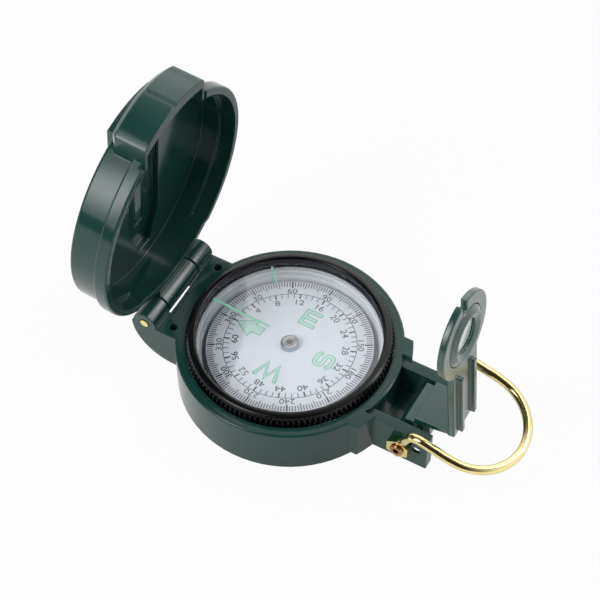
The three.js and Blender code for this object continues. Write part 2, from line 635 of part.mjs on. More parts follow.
function buildCover() {
  const rimTop = coverRim + COVER_RIM_HEIGHT;
  const bell = turned([
    [0, coverRim],
    [coverWallRadius, coverRim],
    [coverWallRadius, coverTop - COVER_EDGE],
    [coverWallRadius - COVER_EDGE_STEP, coverTop - COVER_EDGE_STEP],
    [coverWallRadius - COVER_EDGE, coverTop],
    [0, coverTop],
  ]);
  const band = turned([
    [0, coverRim],
    [coverRimRadius - CASE_RIM_CHAMFER, coverRim],
    [coverRimRadius, coverRim + CASE_RIM_CHAMFER],
    [coverRimRadius, rimTop - CASE_RIM_CHAMFER],
    [coverRimRadius - CASE_RIM_CHAMFER, rimTop],
    [0, rimTop],
  ]).subtract(block(-2 * coverRimRadius, -COVER_TRIM, -coverRimRadius, coverRimRadius,
    coverRim - BITE, rimTop + BITE));
  const hood = buildHood();
  const spineSide = CHANNEL_HALF_WIDTH + SPINE_WALL;
  const spineEnd = CHANNEL_END_HALF_WIDTH + SPINE_WALL;
  const spineOutline = channelOutline(spineSide, spineEnd, coverWallRadius, CHANNEL_END + SPINE_WALL);
  const spine = prismZ(spineOutline, coverCeiling, spineTop)
    .intersect(turned([
      [0, coverRim],
      [coverWallRadius, coverRim],
      [coverWallRadius, spineTop - SPINE_EDGE],
      [coverWallRadius - SPINE_EDGE, spineTop],
      [0, spineTop],
    ]));
  const knuckleHalf = KNUCKLE_SPLIT - GAP;
  const knuckle = rodAlongY(hingeX, hingeZ, KNUCKLE_RADIUS, -knuckleHalf, knuckleHalf);
  const armEnd = (coverBoreRadius + coverWallRadius) / 2;
  const arm = block(hingeX, -armEnd + BITE / 2, -knuckleHalf, knuckleHalf, coverRim, coverRim + ARM_HEIGHT);

  const bore = disc(coverBoreRadius, coverRim - BITE, coverCeiling);
  const rebate = disc(coverRebateRadius, coverRim - BITE, coverRim + COVER_REBATE_HEIGHT)
    .subtract(block(-2 * coverRimRadius, -COVER_TRIM + COVER_RIM_STEP, -coverRimRadius, coverRimRadius,
      coverRim - 2 * BITE, coverTop));
  const hoodRoom = buildHoodRoom();
  const channelPlan = channelOutline(CHANNEL_HALF_WIDTH, CHANNEL_END_HALF_WIDTH,
    coverBoreRadius - BITE, CHANNEL_END);
  const channel = prismZ(channelPlan, coverCeiling - BITE, channelFloor);
  const slot = block(-SLOT_HALF_LENGTH, SLOT_HALF_LENGTH, -SLOT_HALF_WIDTH, SLOT_HALF_WIDTH,
    coverCeiling - BITE, spineTop + BITE);
  const wireBore = rodAlongX(0, (channelFloor + spineTop) / 2, WIRE_RADIUS + FIT,
    -SLOT_HALF_LENGTH - WIRE_ANCHOR - FIT, SLOT_HALF_LENGTH + WIRE_ANCHOR + FIT, FINE_WIRE_SEGMENTS);
  const mark = block(hoodFront - HOOD_MARK_DEPTH, hoodFront + BITE, -HOOD_MARK_WIDTH / 2, HOOD_MARK_WIDTH / 2,
    coverRim - BITE, coverRim + HOOD_MARK_LENGTH);
  const notches = mirroredY((side) =>
    sideBlock(side, coverBoreRadius / 2, hoodFront, HOOD_HALF_WIDTH, HOOD_HALF_WIDTH + HOOD_NOTCH,
      coverRim - BITE, coverRim + HOOD_NOTCH));
  const pinBore = rodAlongY(hingeX, hingeZ, HINGE_PIN_RADIUS + GAP, -KNUCKLE_SPLIT, KNUCKLE_SPLIT);

  return [band, hood, spine]
    .reduce((body, piece) => body.add(piece), bell)
    .subtract(bore)
    .subtract(rebate)
    .subtract(hoodRoom)
    .subtract(channel)
    .subtract(slot)
    .subtract(wireBore)
    .subtract(mark)
    .subtract(notches)
    .add(arm)
    .add(knuckle)
    .subtract(pinBore);
}

function buildSightingWire() {
  return rodAlongX(0, (channelFloor + spineTop) / 2, WIRE_RADIUS,
    -SLOT_HALF_LENGTH - WIRE_ANCHOR, SLOT_HALF_LENGTH + WIRE_ANCHOR, FINE_WIRE_SEGMENTS);
}

// The upright plate is drawn in YZ about the axle and drawn out along X.
function plateShape() {
  const shape = new THREE.Shape();
  const half = SIGHT_HALF_WIDTH - PLATE_BEVEL;
  const radius = EYE_RADIUS - PLATE_BEVEL;
  const side = Math.acos(half / radius);
  const notchAngle = Math.asin((NOTCH_HALF_WIDTH + PLATE_BEVEL) / radius);
  shape.moveTo(-half, footTop - FOOT_THICKNESS + PLATE_BEVEL);
  shape.lineTo(half, footTop - FOOT_THICKNESS + PLATE_BEVEL);
  shape.absarc(0, EYE_HEIGHT, radius, -side, Math.PI / 2 - notchAngle, false);
  shape.lineTo(NOTCH_HALF_WIDTH + PLATE_BEVEL, EYE_HEIGHT + radius - NOTCH_DEPTH);
  shape.lineTo(-NOTCH_HALF_WIDTH - PLATE_BEVEL, EYE_HEIGHT + radius - NOTCH_DEPTH);
  shape.absarc(0, EYE_HEIGHT, radius, Math.PI / 2 + notchAngle, Math.PI + side, false);
  return shape;
}

function buildSightBracket() {
  const geometry = new THREE.ExtrudeGeometry(plateShape(), {
    depth: PLATE_THICKNESS - 2 * PLATE_BEVEL,
    bevelEnabled: true,
    bevelSegments: 1,
    bevelSize: PLATE_BEVEL,
    bevelThickness: PLATE_BEVEL,
    curveSegments: PLATE_SEGMENTS,
  });
  geometry.applyMatrix4(new THREE.Matrix4().makeBasis(
    new THREE.Vector3(0, 1, 0), new THREE.Vector3(0, 0, 1), new THREE.Vector3(1, 0, 0)));
  geometry.translate(plateInner + PLATE_BEVEL, 0, 0);
  const plate = solid(geometry);
  const webTop = footTop - WEB_DROP;
  const footHalf = SIGHT_HALF_WIDTH - PLATE_BEVEL;
  const foot = prismY(polygon([
    [-WEB_BACK, 0],
    [FOOT_START, 0],
    [FOOT_START, footTop - FOOT_ROOT],
    [plateInner, footTop - FOOT_THICKNESS],
    [plateOuter - PLATE_BEVEL, footTop - FOOT_THICKNESS],
    [plateOuter - PLATE_BEVEL, footTop],
    [FOOT_START, footTop],
    [FOOT_START, webTop],
    [-WEB_BACK, webTop],
  ]), -footHalf, footHalf);
  const web = block(0, WEB_FRONT, -footHalf + WEB_INSET, footHalf - WEB_INSET, 0, webTop);
  const barrelHalf = RAIL_INNER - GAP;
  const barrel = rodAlongY(0, 0, SIGHT_BARREL_RADIUS, -barrelHalf, barrelHalf);
  const ribs = mirroredY((side) => sideBlock(side, plateOuter - BITE, plateOuter + RIB_HEIGHT,
    RIB_SIDE - RIB_WIDTH / 2, RIB_SIDE + RIB_WIDTH / 2, footTop - FOOT_THICKNESS, RIB_TOP));
  const lensHole = rodAlongX(0, EYE_HEIGHT, LENS_HOLE_RADIUS,
    plateInner - BITE, plateOuter + BITE, EYE_SEGMENTS);
  const lensSeat = rodAlongX(0, EYE_HEIGHT, LENS_SEAT_RADIUS,
    plateOuter - LENS_SEAT_DEPTH, plateOuter + BITE, EYE_SEGMENTS);
  const axleBore = rodAlongY(0, 0, AXLE_RADIUS + GAP, -RAIL_INNER, RAIL_INNER);
  return [foot, web, barrel, ribs]
    .reduce((body, piece) => body.add(piece), plate)
    .subtract(lensHole)
    .subtract(lensSeat)
    .subtract(axleBore);
}

// A body turned about the eyepiece axis, listed as [radius, distance from the seat toward the eye].
function turnedAboutEye(profile) {
  const points = profile.map(([radius, along]) => new THREE.Vector2(radius, along));
  const geometry = new THREE.LatheGeometry(points, EYE_SEGMENTS);
  geometry.rotateZ(-Math.PI / 2);
  geometry.translate(plateOuter - LENS_SEAT_DEPTH, 0, EYE_HEIGHT);
  return solid(geometry);
}

function buildLens() {
  const rim = LENS_SEAT_RADIUS - FIT;
  const hole = LENS_HOLE_RADIUS - FIT;
  return turnedAboutEye([
    [0, FIT - LENS_BULGE],
    [LENS_STEP_RADIUS, FIT - LENS_BULGE * LENS_STEP_SHARE],
    [hole, FIT],
    [rim, FIT],
    [rim, FIT + LENS_EDGE],
    [LENS_RING_INNER - GAP, FIT + LENS_EDGE],
    [LENS_STEP_RADIUS, FIT + LENS_EDGE + LENS_CROWN * LENS_STEP_SHARE],
    [0, FIT + LENS_EDGE + LENS_CROWN],
  ]);
}

function buildLensRing() {
  const bottom = 2 * FIT + LENS_EDGE;
  const crest = LENS_SEAT_DEPTH + LENS_RING_RISE;
  const rim = LENS_SEAT_RADIUS - FIT;
  return turnedAboutEye([
    [LENS_RING_INNER, bottom],
    [rim, bottom],
    [rim, LENS_SEAT_DEPTH],
    [LENS_RING_CREST + LENS_RING_ROUND, crest - LENS_RING_ROUND / 2],
    [LENS_RING_CREST, crest],
    [LENS_RING_CREST - LENS_RING_ROUND, crest - LENS_RING_ROUND / 2],
    [LENS_RING_INNER, LENS_SEAT_DEPTH + LENS_RING_INNER_RISE],
    [LENS_RING_INNER, bottom],
  ]);
}

function buildAxle() {
  const neck = eyeletOuter + FIT;
  const half = axleHalfLength;
  const bore = AXLE_RADIUS - AXLE_WALL;
  const profile = [
    [bore, -half],
    [AXLE_FLANGE - FIT, -half],
    [AXLE_FLANGE, -half + FIT],
    [AXLE_FLANGE, -neck],
    [AXLE_RADIUS, -neck],
    [AXLE_RADIUS, neck],
    [AXLE_FLANGE, neck],
    [AXLE_FLANGE, half - FIT],
    [AXLE_FLANGE - FIT, half],
    [bore, half],
    [bore, -half],
  ];
  const geometry = new THREE.LatheGeometry(profile.map(([r, y]) => new THREE.Vector2(r, y)), SMALL_SEGMENTS);
  geometry.translate(axleX, 0, AXLE_HEIGHT);
  return solid(geometry);
}

// Centre line of the wire: up one leg, round a bend, out along the ring and back the same way.
function loopPath() {
  const eyeletMiddle = (eyeletInner + eyeletOuter) / 2;
  const droop = rad(LOOP_DROOP);
  const outward = new THREE.Vector3(Math.cos(droop), 0, -Math.sin(droop));
  const foot = new THREE.Vector3(LOOP_CORNER_OUT, eyeletMiddle / LOOP_LEG_START, LOOP_CORNER_RISE)
    .multiplyScalar(LOOP_LEG_START);
  const corner = new THREE.Vector3(LOOP_CORNER_OUT, LOOP_SIDE, LOOP_CORNER_RISE);
  const upward = corner.clone().sub(foot).normalize();
  const half = [
    foot,
    foot.clone().addScaledVector(upward, LOOP_LEG_LENGTH),
    corner.clone().addScaledVector(upward, -LOOP_CORNER_ROUND),
    corner.clone().addScaledVector(upward, -LOOP_CORNER_CUT).addScaledVector(outward, LOOP_CORNER_CUT),
    corner.clone().addScaledVector(outward, LOOP_CORNER_ROUND),
    corner.clone().addScaledVector(outward, LOOP_STRAIGHT_STEP),
  ];
  const centre = corner.clone().addScaledVector(outward, LOOP_STRAIGHT).setY(0);
  for (let step = 0; step < LOOP_QUARTER_STEPS; step += 1) {
    const turn = (step / LOOP_QUARTER_STEPS) * (Math.PI / 2);
    half.push(centre.clone()
      .addScaledVector(outward, LOOP_SIDE * Math.sin(turn))
      .setY(LOOP_SIDE * Math.cos(turn)));
  }
  const end = centre.clone().addScaledVector(outward, LOOP_SIDE);
  const back = half.map((point) => new THREE.Vector3(point.x, -point.y, point.z)).reverse();
  return new THREE.CatmullRomCurve3([...half, end, ...back], false, 'centripetal');
}

function buildThumbLoop() {
  const section = new THREE.Shape();
  section.absarc(0, 0, WIRE_LOOP_RADIUS, 0, 2 * Math.PI, false);
  const wire = solid(new THREE.ExtrudeGeometry(section, {
    steps: WIRE_STEPS,
    curveSegments: WIRE_SEGMENTS,
    extrudePath: loopPath(),
  }));
  const eyelets = mirroredY((side) => {
    const y0 = side > 0 ? eyeletInner : -eyeletOuter;
    return rodAlongY(0, 0, EYELET_RADIUS, y0, y0 + EYELET_THICKNESS, EYELET_CORNERS);
  });
  const bore = rodAlongY(0, 0, AXLE_RADIUS + GAP, -axleHalfLength, axleHalfLength);
  return wire.add(eyelets).subtract(bore);
}

const green = { color: 0x1f433d, roughness: 0.42, metalness: 0.0 };
const black = { color: 0x0c0d0e, roughness: 0.3, metalness: 0.0 };
const brass = { color: 0xc79a3c, roughness: 0.25, metalness: 1.0 };
const steel = { color: 0xb9bcc0, roughness: 0.3, metalness: 1.0 };
const white = { color: 0xe6ebf0, roughness: 0.55, metalness: 0.0 };
const clear = { color: 0xf2f6f7, roughness: 0.05, metalness: 0.0, transparent: true, opacity: 0.25 };
const rubber = { color: 0x17181a, roughness: 0.8, metalness: 0.0 };
const glow = { color: 0x8fcdae, roughness: 0.6, metalness: 0.0 };

const compass = new THREE.Group();
compass.name = 'lensatic_compass';

function place(parent, name, body, look) {
  const mesh = new THREE.Mesh(geometryOf(body), new THREE.MeshStandardMaterial(look));
  mesh.name = name;
  parent.add(mesh);
}

// A group that turns its content about an axis along Y through a point in XZ.
function turnedGroup(x, z, degrees) {
  const outer = new THREE.Group();
  outer.position.set(x, 0, z);
  outer.rotation.y = rad(degrees);
  compass.add(outer);
  return outer;
}

place(compass, 'case_body', buildCase(), green);
place(compass, 'hinge_pin', buildHingePin(), brass);
place(compass, 'capsule_cup', buildCapsuleCup(), white);
place(compass, 'capsule_seal', buildCapsuleSeal(), rubber);
place(compass, 'capsule_lid', disc(capsuleRadius, capsuleLidBottom, capsuleLidTop, INNER_SEGMENTS), clear);
place(compass, 'pivot_post', buildPivotPost(), steel);
place(compass, 'bezel_spring', buildBezelSpring(), steel);
place(compass, 'bezel_ring', buildBezel(), black);
place(compass, 'crystal', buildCrystal(), clear);
place(compass, 'bearing_line', longLine(crystalTop - LINE_INLAY, crystalTop + LINE_PROUD, 0), glow);
place(compass, 'bearing_mark', shortLine(crystalTop - LINE_INLAY, crystalTop + LINE_PROUD, 0), glow);
place(compass, 'axle_tube', buildAxle(), brass);

const dialGroup = new THREE.Group();
const dialToward = rad(DIAL_TILT_TOWARD);
dialGroup.position.set(0, 0, needleTip);
dialGroup.quaternion.setFromAxisAngle(
  new THREE.Vector3(Math.sin(dialToward), -Math.cos(dialToward), 0), rad(DIAL_TILT));
compass.add(dialGroup);
place(dialGroup, 'dial_card', buildDialCard().translate([0, 0, -needleTip]), white);
place(dialGroup, 'dial_magnet', buildDialMagnet().translate([0, 0, -needleTip]), steel);
place(dialGroup, 'dial_hub', buildDialHub().translate([0, 0, -needleTip]), steel);

const coverGroup = turnedGroup(hingeX, hingeZ, -COVER_OPEN_ANGLE);
place(coverGroup, 'cover', buildCover().translate([-hingeX, 0, -hingeZ]), green);
place(coverGroup, 'sighting_wire', buildSightingWire().translate([-hingeX, 0, -hingeZ]), steel);

const sightGroup = turnedGroup(axleX, AXLE_HEIGHT, -SIGHT_LEAN);
place(sightGroup, 'sight_bracket', buildSightBracket(), green);
place(sightGroup, 'sight_lens', buildLens(), clear);
place(sightGroup, 'lens_ring', buildLensRing(), black);

const loopGroup = turnedGroup(axleX, AXLE_HEIGHT, 0);
place(loopGroup, 'thumb_loop', buildThumbLoop(), brass);

export default compass;
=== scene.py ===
"""Looks for a folding lensatic compass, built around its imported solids. Metres, +Z up."""
import json
import math

import bmesh
import bpy
from mathutils import Matrix, Vector

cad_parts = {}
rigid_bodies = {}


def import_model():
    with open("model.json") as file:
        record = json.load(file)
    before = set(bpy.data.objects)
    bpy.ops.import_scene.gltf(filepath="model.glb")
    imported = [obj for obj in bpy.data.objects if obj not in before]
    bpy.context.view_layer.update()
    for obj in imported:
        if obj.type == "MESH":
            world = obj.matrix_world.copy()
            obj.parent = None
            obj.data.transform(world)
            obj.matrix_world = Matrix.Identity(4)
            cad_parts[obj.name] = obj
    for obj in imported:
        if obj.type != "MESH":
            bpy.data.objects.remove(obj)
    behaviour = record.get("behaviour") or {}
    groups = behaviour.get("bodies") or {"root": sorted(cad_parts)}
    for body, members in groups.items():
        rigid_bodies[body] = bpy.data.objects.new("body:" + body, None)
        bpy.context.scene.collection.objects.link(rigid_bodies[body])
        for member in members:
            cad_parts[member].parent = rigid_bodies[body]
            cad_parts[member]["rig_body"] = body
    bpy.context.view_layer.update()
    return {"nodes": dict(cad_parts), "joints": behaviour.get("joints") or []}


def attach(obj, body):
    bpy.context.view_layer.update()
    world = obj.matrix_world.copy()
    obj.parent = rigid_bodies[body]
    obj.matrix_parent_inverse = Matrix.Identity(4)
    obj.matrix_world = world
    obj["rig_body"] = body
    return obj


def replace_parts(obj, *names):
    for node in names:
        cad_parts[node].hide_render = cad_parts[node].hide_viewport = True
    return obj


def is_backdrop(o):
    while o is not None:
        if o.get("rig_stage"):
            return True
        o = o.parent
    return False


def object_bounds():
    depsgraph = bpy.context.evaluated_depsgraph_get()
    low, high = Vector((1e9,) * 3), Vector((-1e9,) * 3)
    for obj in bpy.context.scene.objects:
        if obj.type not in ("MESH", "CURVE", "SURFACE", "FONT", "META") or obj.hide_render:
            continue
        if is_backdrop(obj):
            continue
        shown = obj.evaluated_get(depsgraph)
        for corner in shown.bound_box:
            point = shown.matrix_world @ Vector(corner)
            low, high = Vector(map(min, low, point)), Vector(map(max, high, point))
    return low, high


MM = 0.001
FULL_TURN = 360.0
QUARTER_TURN = 90.0

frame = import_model()
nodes = frame["nodes"]
scene = bpy.context.scene


# Materials

# Sizes of surface marks, in millimetres
FLOW_SIZE = 9.0
GRAIN_SIZE = 0.16
WEAR_SIZE = 2.5
TARNISH_SIZE = 3.0
SMEAR_SIZE = 6.0
BLOTCH_SIZE = 7.0
SCRATCH_DEPTH = 0.01
TOOTH_DEPTH = 0.02

# Ranges of noise over which a mark fades in
NOISE_ROUGHNESS = 0.55
NOISE_MIDDLE = (0.3, 0.7)
NOISE_NARROW = (0.35, 0.65)
NOISE_FLOW_GRAIN = (0.45, 1.05)
NOISE_TARNISH = (0.45, 0.75)
NOISE_SMEAR = (0.4, 0.8)

# How strongly marks show
FULL = (0.0, 1.0)
WEAR_LEVEL = (0.35, 1.0)
TARNISH_LEVEL = (0.0, 0.6)
SMEAR_LEVEL = (0.0, 0.03)
GRAIN_SHARE = 0.5
GRAIN_STRENGTH = 0.06
SCRATCH_STRENGTH = 0.03
ROUGH_SPREAD = 0.06
EDGE_SAMPLES = 6
EDGE_FACING = (0.99, 0.8)
EDGE_SHINE = 0.5
WEAR_POLISH = 0.04

# Places of a colour mix's sockets
MIX_SHARE, MIX_FIRST, MIX_SECOND, MIX_RESULT = 0, 6, 7, 2


class Graph:
    """The node tree of a material, lamp or world, with short calls to add and join nodes."""

    def __init__(self, owner, output):
        owner.use_nodes = True
        self.owner = owner
        self.tree = owner.node_tree
        self.tree.nodes.clear()
        self.output = self.add(output)

    def add(self, kind, inputs=None, **settings):
        made = self.tree.nodes.new(kind)
        for key, value in settings.items():
            setattr(made, key, value)
        for key, value in (inputs or {}).items():
            self.put(made.inputs[key], value)
        return made

    def put(self, socket, value):
        if isinstance(value, bpy.types.NodeSocket):
            self.tree.links.new(value, socket)
        else:
            socket.default_value = value

    def place(self):
        """A point's place in its object's own frame."""
        return self.add("ShaderNodeTexCoord").outputs["Object"]

    def noise(self, size, detail):
        """Noise whose blotches are about size millimetres across."""
        made = self.add("ShaderNodeTexNoise", {
            "Vector": self.place(),
            "Scale": 1.0 / (size * MM),
            "Detail": detail,
            "Roughness": NOISE_ROUGHNESS,
        })
        return made.outputs["Fac"]

    def span(self, value, source, target, interpolation="LINEAR"):
        """Carries a value from one range to another and holds it at the ends."""
        made = self.add("ShaderNodeMapRange", {
            "Value": value,
            "From Min": source[0],
            "From Max": source[1],
            "To Min": target[0],
            "To Max": target[1],
        }, interpolation_type=interpolation)
        return made.outputs["Result"]

    def mix(self, share, first, second):
        """A colour between two."""
        made = self.add("ShaderNodeMix", data_type="RGBA")
        self.put(made.inputs[MIX_SHARE], share)
        self.put(made.inputs[MIX_FIRST], first)
        self.put(made.inputs[MIX_SECOND], second)
        return made.outputs[MIX_RESULT]

    def maths(self, operation, first, second):
        return self.add("ShaderNodeMath", {0: first, 1: second}, operation=operation).outputs["Value"]

    def vector(self, operation, first, second):
        """A number worked out from two vectors."""
        return self.add("ShaderNodeVectorMath", {0: first, 1: second}, operation=operation).outputs["Value"]

    def bump(self, height, strength, distance, normal=None):
        made = self.add("ShaderNodeBump", {
            "Height": height, "Strength": strength, "Distance": distance * MM})
        if normal is not None:
            self.put(made.inputs["Normal"], normal)
        return made.outputs["Normal"]

    def rounded(self, radius):
        """A normal that rounds edges by radius millimetres, and how near an edge a point is."""
        soft = self.add("ShaderNodeBevel", {"Radius": radius * MM}, samples=EDGE_SAMPLES).outputs["Normal"]
        flat = self.add("ShaderNodeNewGeometry").outputs["Normal"]
        return soft, self.span(self.vector("DOT_PRODUCT", soft, flat), EDGE_FACING, FULL)

    def blend(self, share, first, second):
        """A shader between two."""
        return self.add("ShaderNodeMixShader", {0: share, 1: first, 2: second}).outputs["Shader"]

    def finish(self, shader):
        self.tree.links.new(shader, self.output.inputs["Surface"])
        return self.owner

    def surface(self, **inputs):
        """Ends a material in one shader with these inputs."""
        shader = self.add("ShaderNodeBsdfPrincipled", {k.replace("_", " "): v for k, v in inputs.items()})
        return self.finish(shader.outputs["BSDF"])


def material_graph(name):
    return Graph(bpy.data.materials.new(name), "ShaderNodeOutputMaterial")


def colour(red, green, blue):
    """A shader colour from 0-255 screen values, by the standard screen curve."""
    def linear(value):
        share = value / 255.0
        return share / 12.92 if share <= 0.04045 else ((share + 0.055) / 1.055) ** 2.4
    return (linear(red), linear(green), linear(blue), 1.0)


def moulded(name, base, shade, rough, worn_and_sheen=None, round_edge=0.0, grain_depth=0.05, coat=0.0, ior=1.5):
    """Moulded plastic: faint flow marks, a fine grain and, where edges are rounded, paler edges: part
    rubbed, part painted highlight.
    """
    g = material_graph(name)
    flow = g.noise(FLOW_SIZE, detail=4.0)
    grain = g.noise(GRAIN_SIZE, detail=2.0)
    tone = g.mix(g.span(flow, NOISE_MIDDLE, FULL), colour(*base), colour(*shade))
    marks = g.maths("ADD", flow, g.maths("MULTIPLY", grain, GRAIN_SHARE))
    roughness = g.span(marks, NOISE_FLOW_GRAIN, rough)
    soft = None
    if worn_and_sheen:
        soft, edges = g.rounded(round_edge)
        patches = g.span(g.noise(WEAR_SIZE, detail=4.0), NOISE_NARROW, WEAR_LEVEL)
        wear_and_sheen = g.maths("MULTIPLY", edges, patches)
        # paler edges: part rubbing, part a painted highlight along the rounded edges
        tone = g.mix(wear_and_sheen, tone, colour(*worn_and_sheen))
        roughness = g.maths("SUBTRACT", roughness, g.maths("MULTIPLY", wear_and_sheen, WEAR_POLISH))
    return g.surface(
        Base_Color=tone,
        Roughness=roughness,
        Normal=g.bump(grain, GRAIN_STRENGTH, grain_depth, soft),
        IOR=ior,
        Coat_Weight=coat,
        Coat_Roughness=rough[0],
    )


def metal(name, base, dark, rough, scratch_size, round_edge=0.0):
    """Polished metal with fine scratches, faint tarnish and, where edges are rounded, brighter edges."""
    g = material_graph(name)
    scratch = g.noise(scratch_size, detail=3.0)
    tarnish = g.span(g.noise(TARNISH_SIZE, detail=5.0), NOISE_TARNISH, TARNISH_LEVEL)
    tone = g.mix(tarnish, colour(*base), colour(*dark))
    soft = None
    if round_edge:
        soft, edges = g.rounded(round_edge)
        tone = g.mix(g.maths("MULTIPLY", edges, EDGE_SHINE), tone, colour(*base))
    return g.surface(
        Base_Color=tone,
        Metallic=1.0,
        Roughness=g.span(scratch, NOISE_MIDDLE, rough),
        Normal=g.bump(scratch, SCRATCH_STRENGTH, SCRATCH_DEPTH, soft),
    )


def clear(name, tint, ior):
    """Clear plastic or glass, faintly smeared, that lets lamps through."""
    g = material_graph(name)
    smear = g.span(g.noise(SMEAR_SIZE, detail=4.0), NOISE_SMEAR, SMEAR_LEVEL)
    glass = g.add("ShaderNodeBsdfPrincipled", {
        "Base Color": tint, "Transmission Weight": 1.0, "IOR": ior, "Roughness": smear})
    passing = g.add("ShaderNodeBsdfTransparent", {"Color": tint})
    shadow = g.add("ShaderNodeLightPath").outputs["Is Shadow Ray"]
    return g.finish(g.blend(shadow, glass.outputs["BSDF"], passing.outputs["BSDF"]))


def painted(name, base, shade, tooth_size, rough, bump, depth=0.0):
    """A printed or painted matt surface with a fine even tooth; light goes depth millimetres into it."""
    g = material_graph(name)
    tooth = g.noise(tooth_size, detail=3.0)
    blotch = g.span(g.noise(BLOTCH_SIZE, detail=3.0), NOISE_NARROW, FULL)
    return g.surface(
        Base_Color=g.mix(blotch, colour(*base), colour(*shade)),
        Roughness=g.span(tooth, NOISE_MIDDLE, (rough - ROUGH_SPREAD, rough + ROUGH_SPREAD)),
        Normal=g.bump(tooth, bump, TOOTH_DEPTH),
        Subsurface_Weight=1.0 if depth else 0.0,
        Subsurface_Radius=(1.0, 1.0, 1.0),
        Subsurface_Scale=depth * MM,
    )


# The paler edge colours below are part rubbing and part painted highlight.
GREEN = moulded("green_plastic", (32, 72, 66), (28, 66, 61), rough=(0.1, 0.15),
                worn_and_sheen=(80, 136, 126), round_edge=0.2, grain_depth=0.008)
GREEN_SIGHT = moulded("green_sight", (28, 78, 69), (24, 72, 64), rough=(0.2, 0.28),
                      worn_and_sheen=(66, 128, 114), round_edge=0.2, grain_depth=0.012, coat=1.0)
BLACK = moulded("black_plastic", (9, 9, 11), (12, 12, 14), rough=(0.18, 0.24), grain_depth=0.002, ior=1.42)
# The lip's grey is a painted reflection of the bright dial in a black gloss lip
LIP_PAINTED_REFLECTION = moulded("lip_painted_reflection", (72, 75, 84), (66, 69, 78), rough=(0.5, 0.6), grain_depth=0.001, ior=1.3)
RUBBER = moulded("seal_rubber", (58, 60, 64), (48, 50, 54), rough=(0.6, 0.75),
                 worn_and_sheen=(80, 82, 86), round_edge=0.05)
JEWEL = moulded("jewel_dark", (64, 72, 82), (54, 62, 72), rough=(0.05, 0.1),
                worn_and_sheen=(120, 130, 140), round_edge=0.05, grain_depth=0.01)
BRASS = metal("polished_brass", (250, 233, 166), (238, 208, 126), (0.07, 0.12), scratch_size=0.6,
              round_edge=0.1)
BRASS_WIRE = metal("drawn_brass", (250, 233, 166), (238, 208, 126), (0.08, 0.13), scratch_size=0.6)
COPPER = metal("rivet_brass", (196, 158, 108), (128, 92, 54), (0.16, 0.3), scratch_size=0.2,
               round_edge=0.08)
HUB_STEEL = metal("hub_steel", (166, 173, 184), (112, 120, 132), (0.05, 0.1), scratch_size=0.3)
HUB_BRASS = metal("hub_brass", (222, 202, 160), (196, 172, 124), (0.1, 0.16), scratch_size=0.3)
STEEL = metal("bright_steel", (206, 210, 216), (150, 156, 164), (0.15, 0.28), scratch_size=0.2,
              round_edge=0.08)
CRYSTAL = clear("crystal_clear", (0.985, 0.99, 0.995, 1.0), ior=1.45)
LENS = clear("lens_clear", (0.985, 0.99, 0.99, 1.0), ior=1.49)
CARD = painted("dial_white", (232, 237, 244), (228, 233, 241), tooth_size=0.12, rough=0.5, bump=0.05)
CUP = painted("capsule_white", (236, 241, 245), (230, 236, 241), tooth_size=0.3, rough=0.3, bump=0.02,
              depth=0.8)
# Thin grey rings on the capsule's steps: painted shade at the step edges
STEP_SHADE_LINE = painted("capsule_step_shade", (170, 176, 182), (126, 132, 138), tooth_size=0.2, rough=0.4, bump=0.05)
INK = painted("dial_ink", (76, 76, 83), (84, 84, 91), tooth_size=0.1, rough=0.55, bump=0.1)
INK_HEAVY = painted("dial_ink_heavy", (42, 42, 48), (50, 50, 56), tooth_size=0.1, rough=0.55, bump=0.1)
GLOW = painted("glow_fill", (204, 238, 227), (190, 230, 216), tooth_size=0.15, rough=0.6, bump=0.1)
GLOW_EDGE = painted("glow_edge", (110, 194, 157), (102, 185, 148), tooth_size=0.1, rough=0.6, bump=0.15)
GLOW_LINE = painted("glow_line", (154, 228, 196), (162, 233, 202), tooth_size=0.15, rough=0.5, bump=0.1)


# Pieces

def body_of(node):
    return nodes[node]["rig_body"]


def piece_from(name, bm, material, body):
    """Makes a finished edit mesh into a piece that rides on a body."""
    mesh = bpy.data.meshes.new(name)
    bm.to_mesh(mesh)
    bm.free()
    mesh.materials.append(material)
    piece = bpy.data.objects.new(name, mesh)
    scene.collection.objects.link(piece)
    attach(piece, body)
    return piece


def smooth(bm, angle):
    """Shades a mesh smooth, with its edges over that angle left sharp."""
    limit = math.radians(angle)
    for face in bm.faces:
        face.smooth = True
    for edge in bm.edges:
        edge.smooth = len(edge.link_faces) == 2 and edge.calc_face_angle(0.0) < limit


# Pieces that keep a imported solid's shape: corners this near are one, and faces this flat are one face
JOIN_DISTANCE = 0.002
FLAT_ANGLE = 0.3
SHARP_ANGLE = 30.0
ALL_SMOOTH = 180.0
BEVEL_SEGMENTS = 2
FINE_BEVEL = 0.15
WIDE_BEVEL = 0.2


def dressed(node, name, material, angle=SHARP_ANGLE, bevel=0.0):
    """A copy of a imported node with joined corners, even shading and softened edges, shown in its place."""
    bm = bmesh.new()
    bm.from_mesh(nodes[node].data)
    bmesh.ops.remove_doubles(bm, verts=bm.verts, dist=JOIN_DISTANCE * MM)
    bmesh.ops.dissolve_limit(bm, angle_limit=math.radians(FLAT_ANGLE), verts=bm.verts, edges=bm.edges)
    smooth(bm, ALL_SMOOTH if bevel else angle)
    piece = piece_from(name, bm, material, body_of(node))
    if bevel:
        soften = piece.modifiers.new("soften", "BEVEL")
        soften.width = bevel * MM
        soften.segments = BEVEL_SEGMENTS
        soften.limit_method = "ANGLE"
        soften.angle_limit = math.radians(angle)
        soften.use_clamp_overlap = False
        soften.harden_normals = False
    even = piece.modifiers.new("even", "WEIGHTED_NORMAL")
    even.mode = "FACE_AREA"
    even.keep_sharp = True
    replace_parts(piece, node)
    return piece


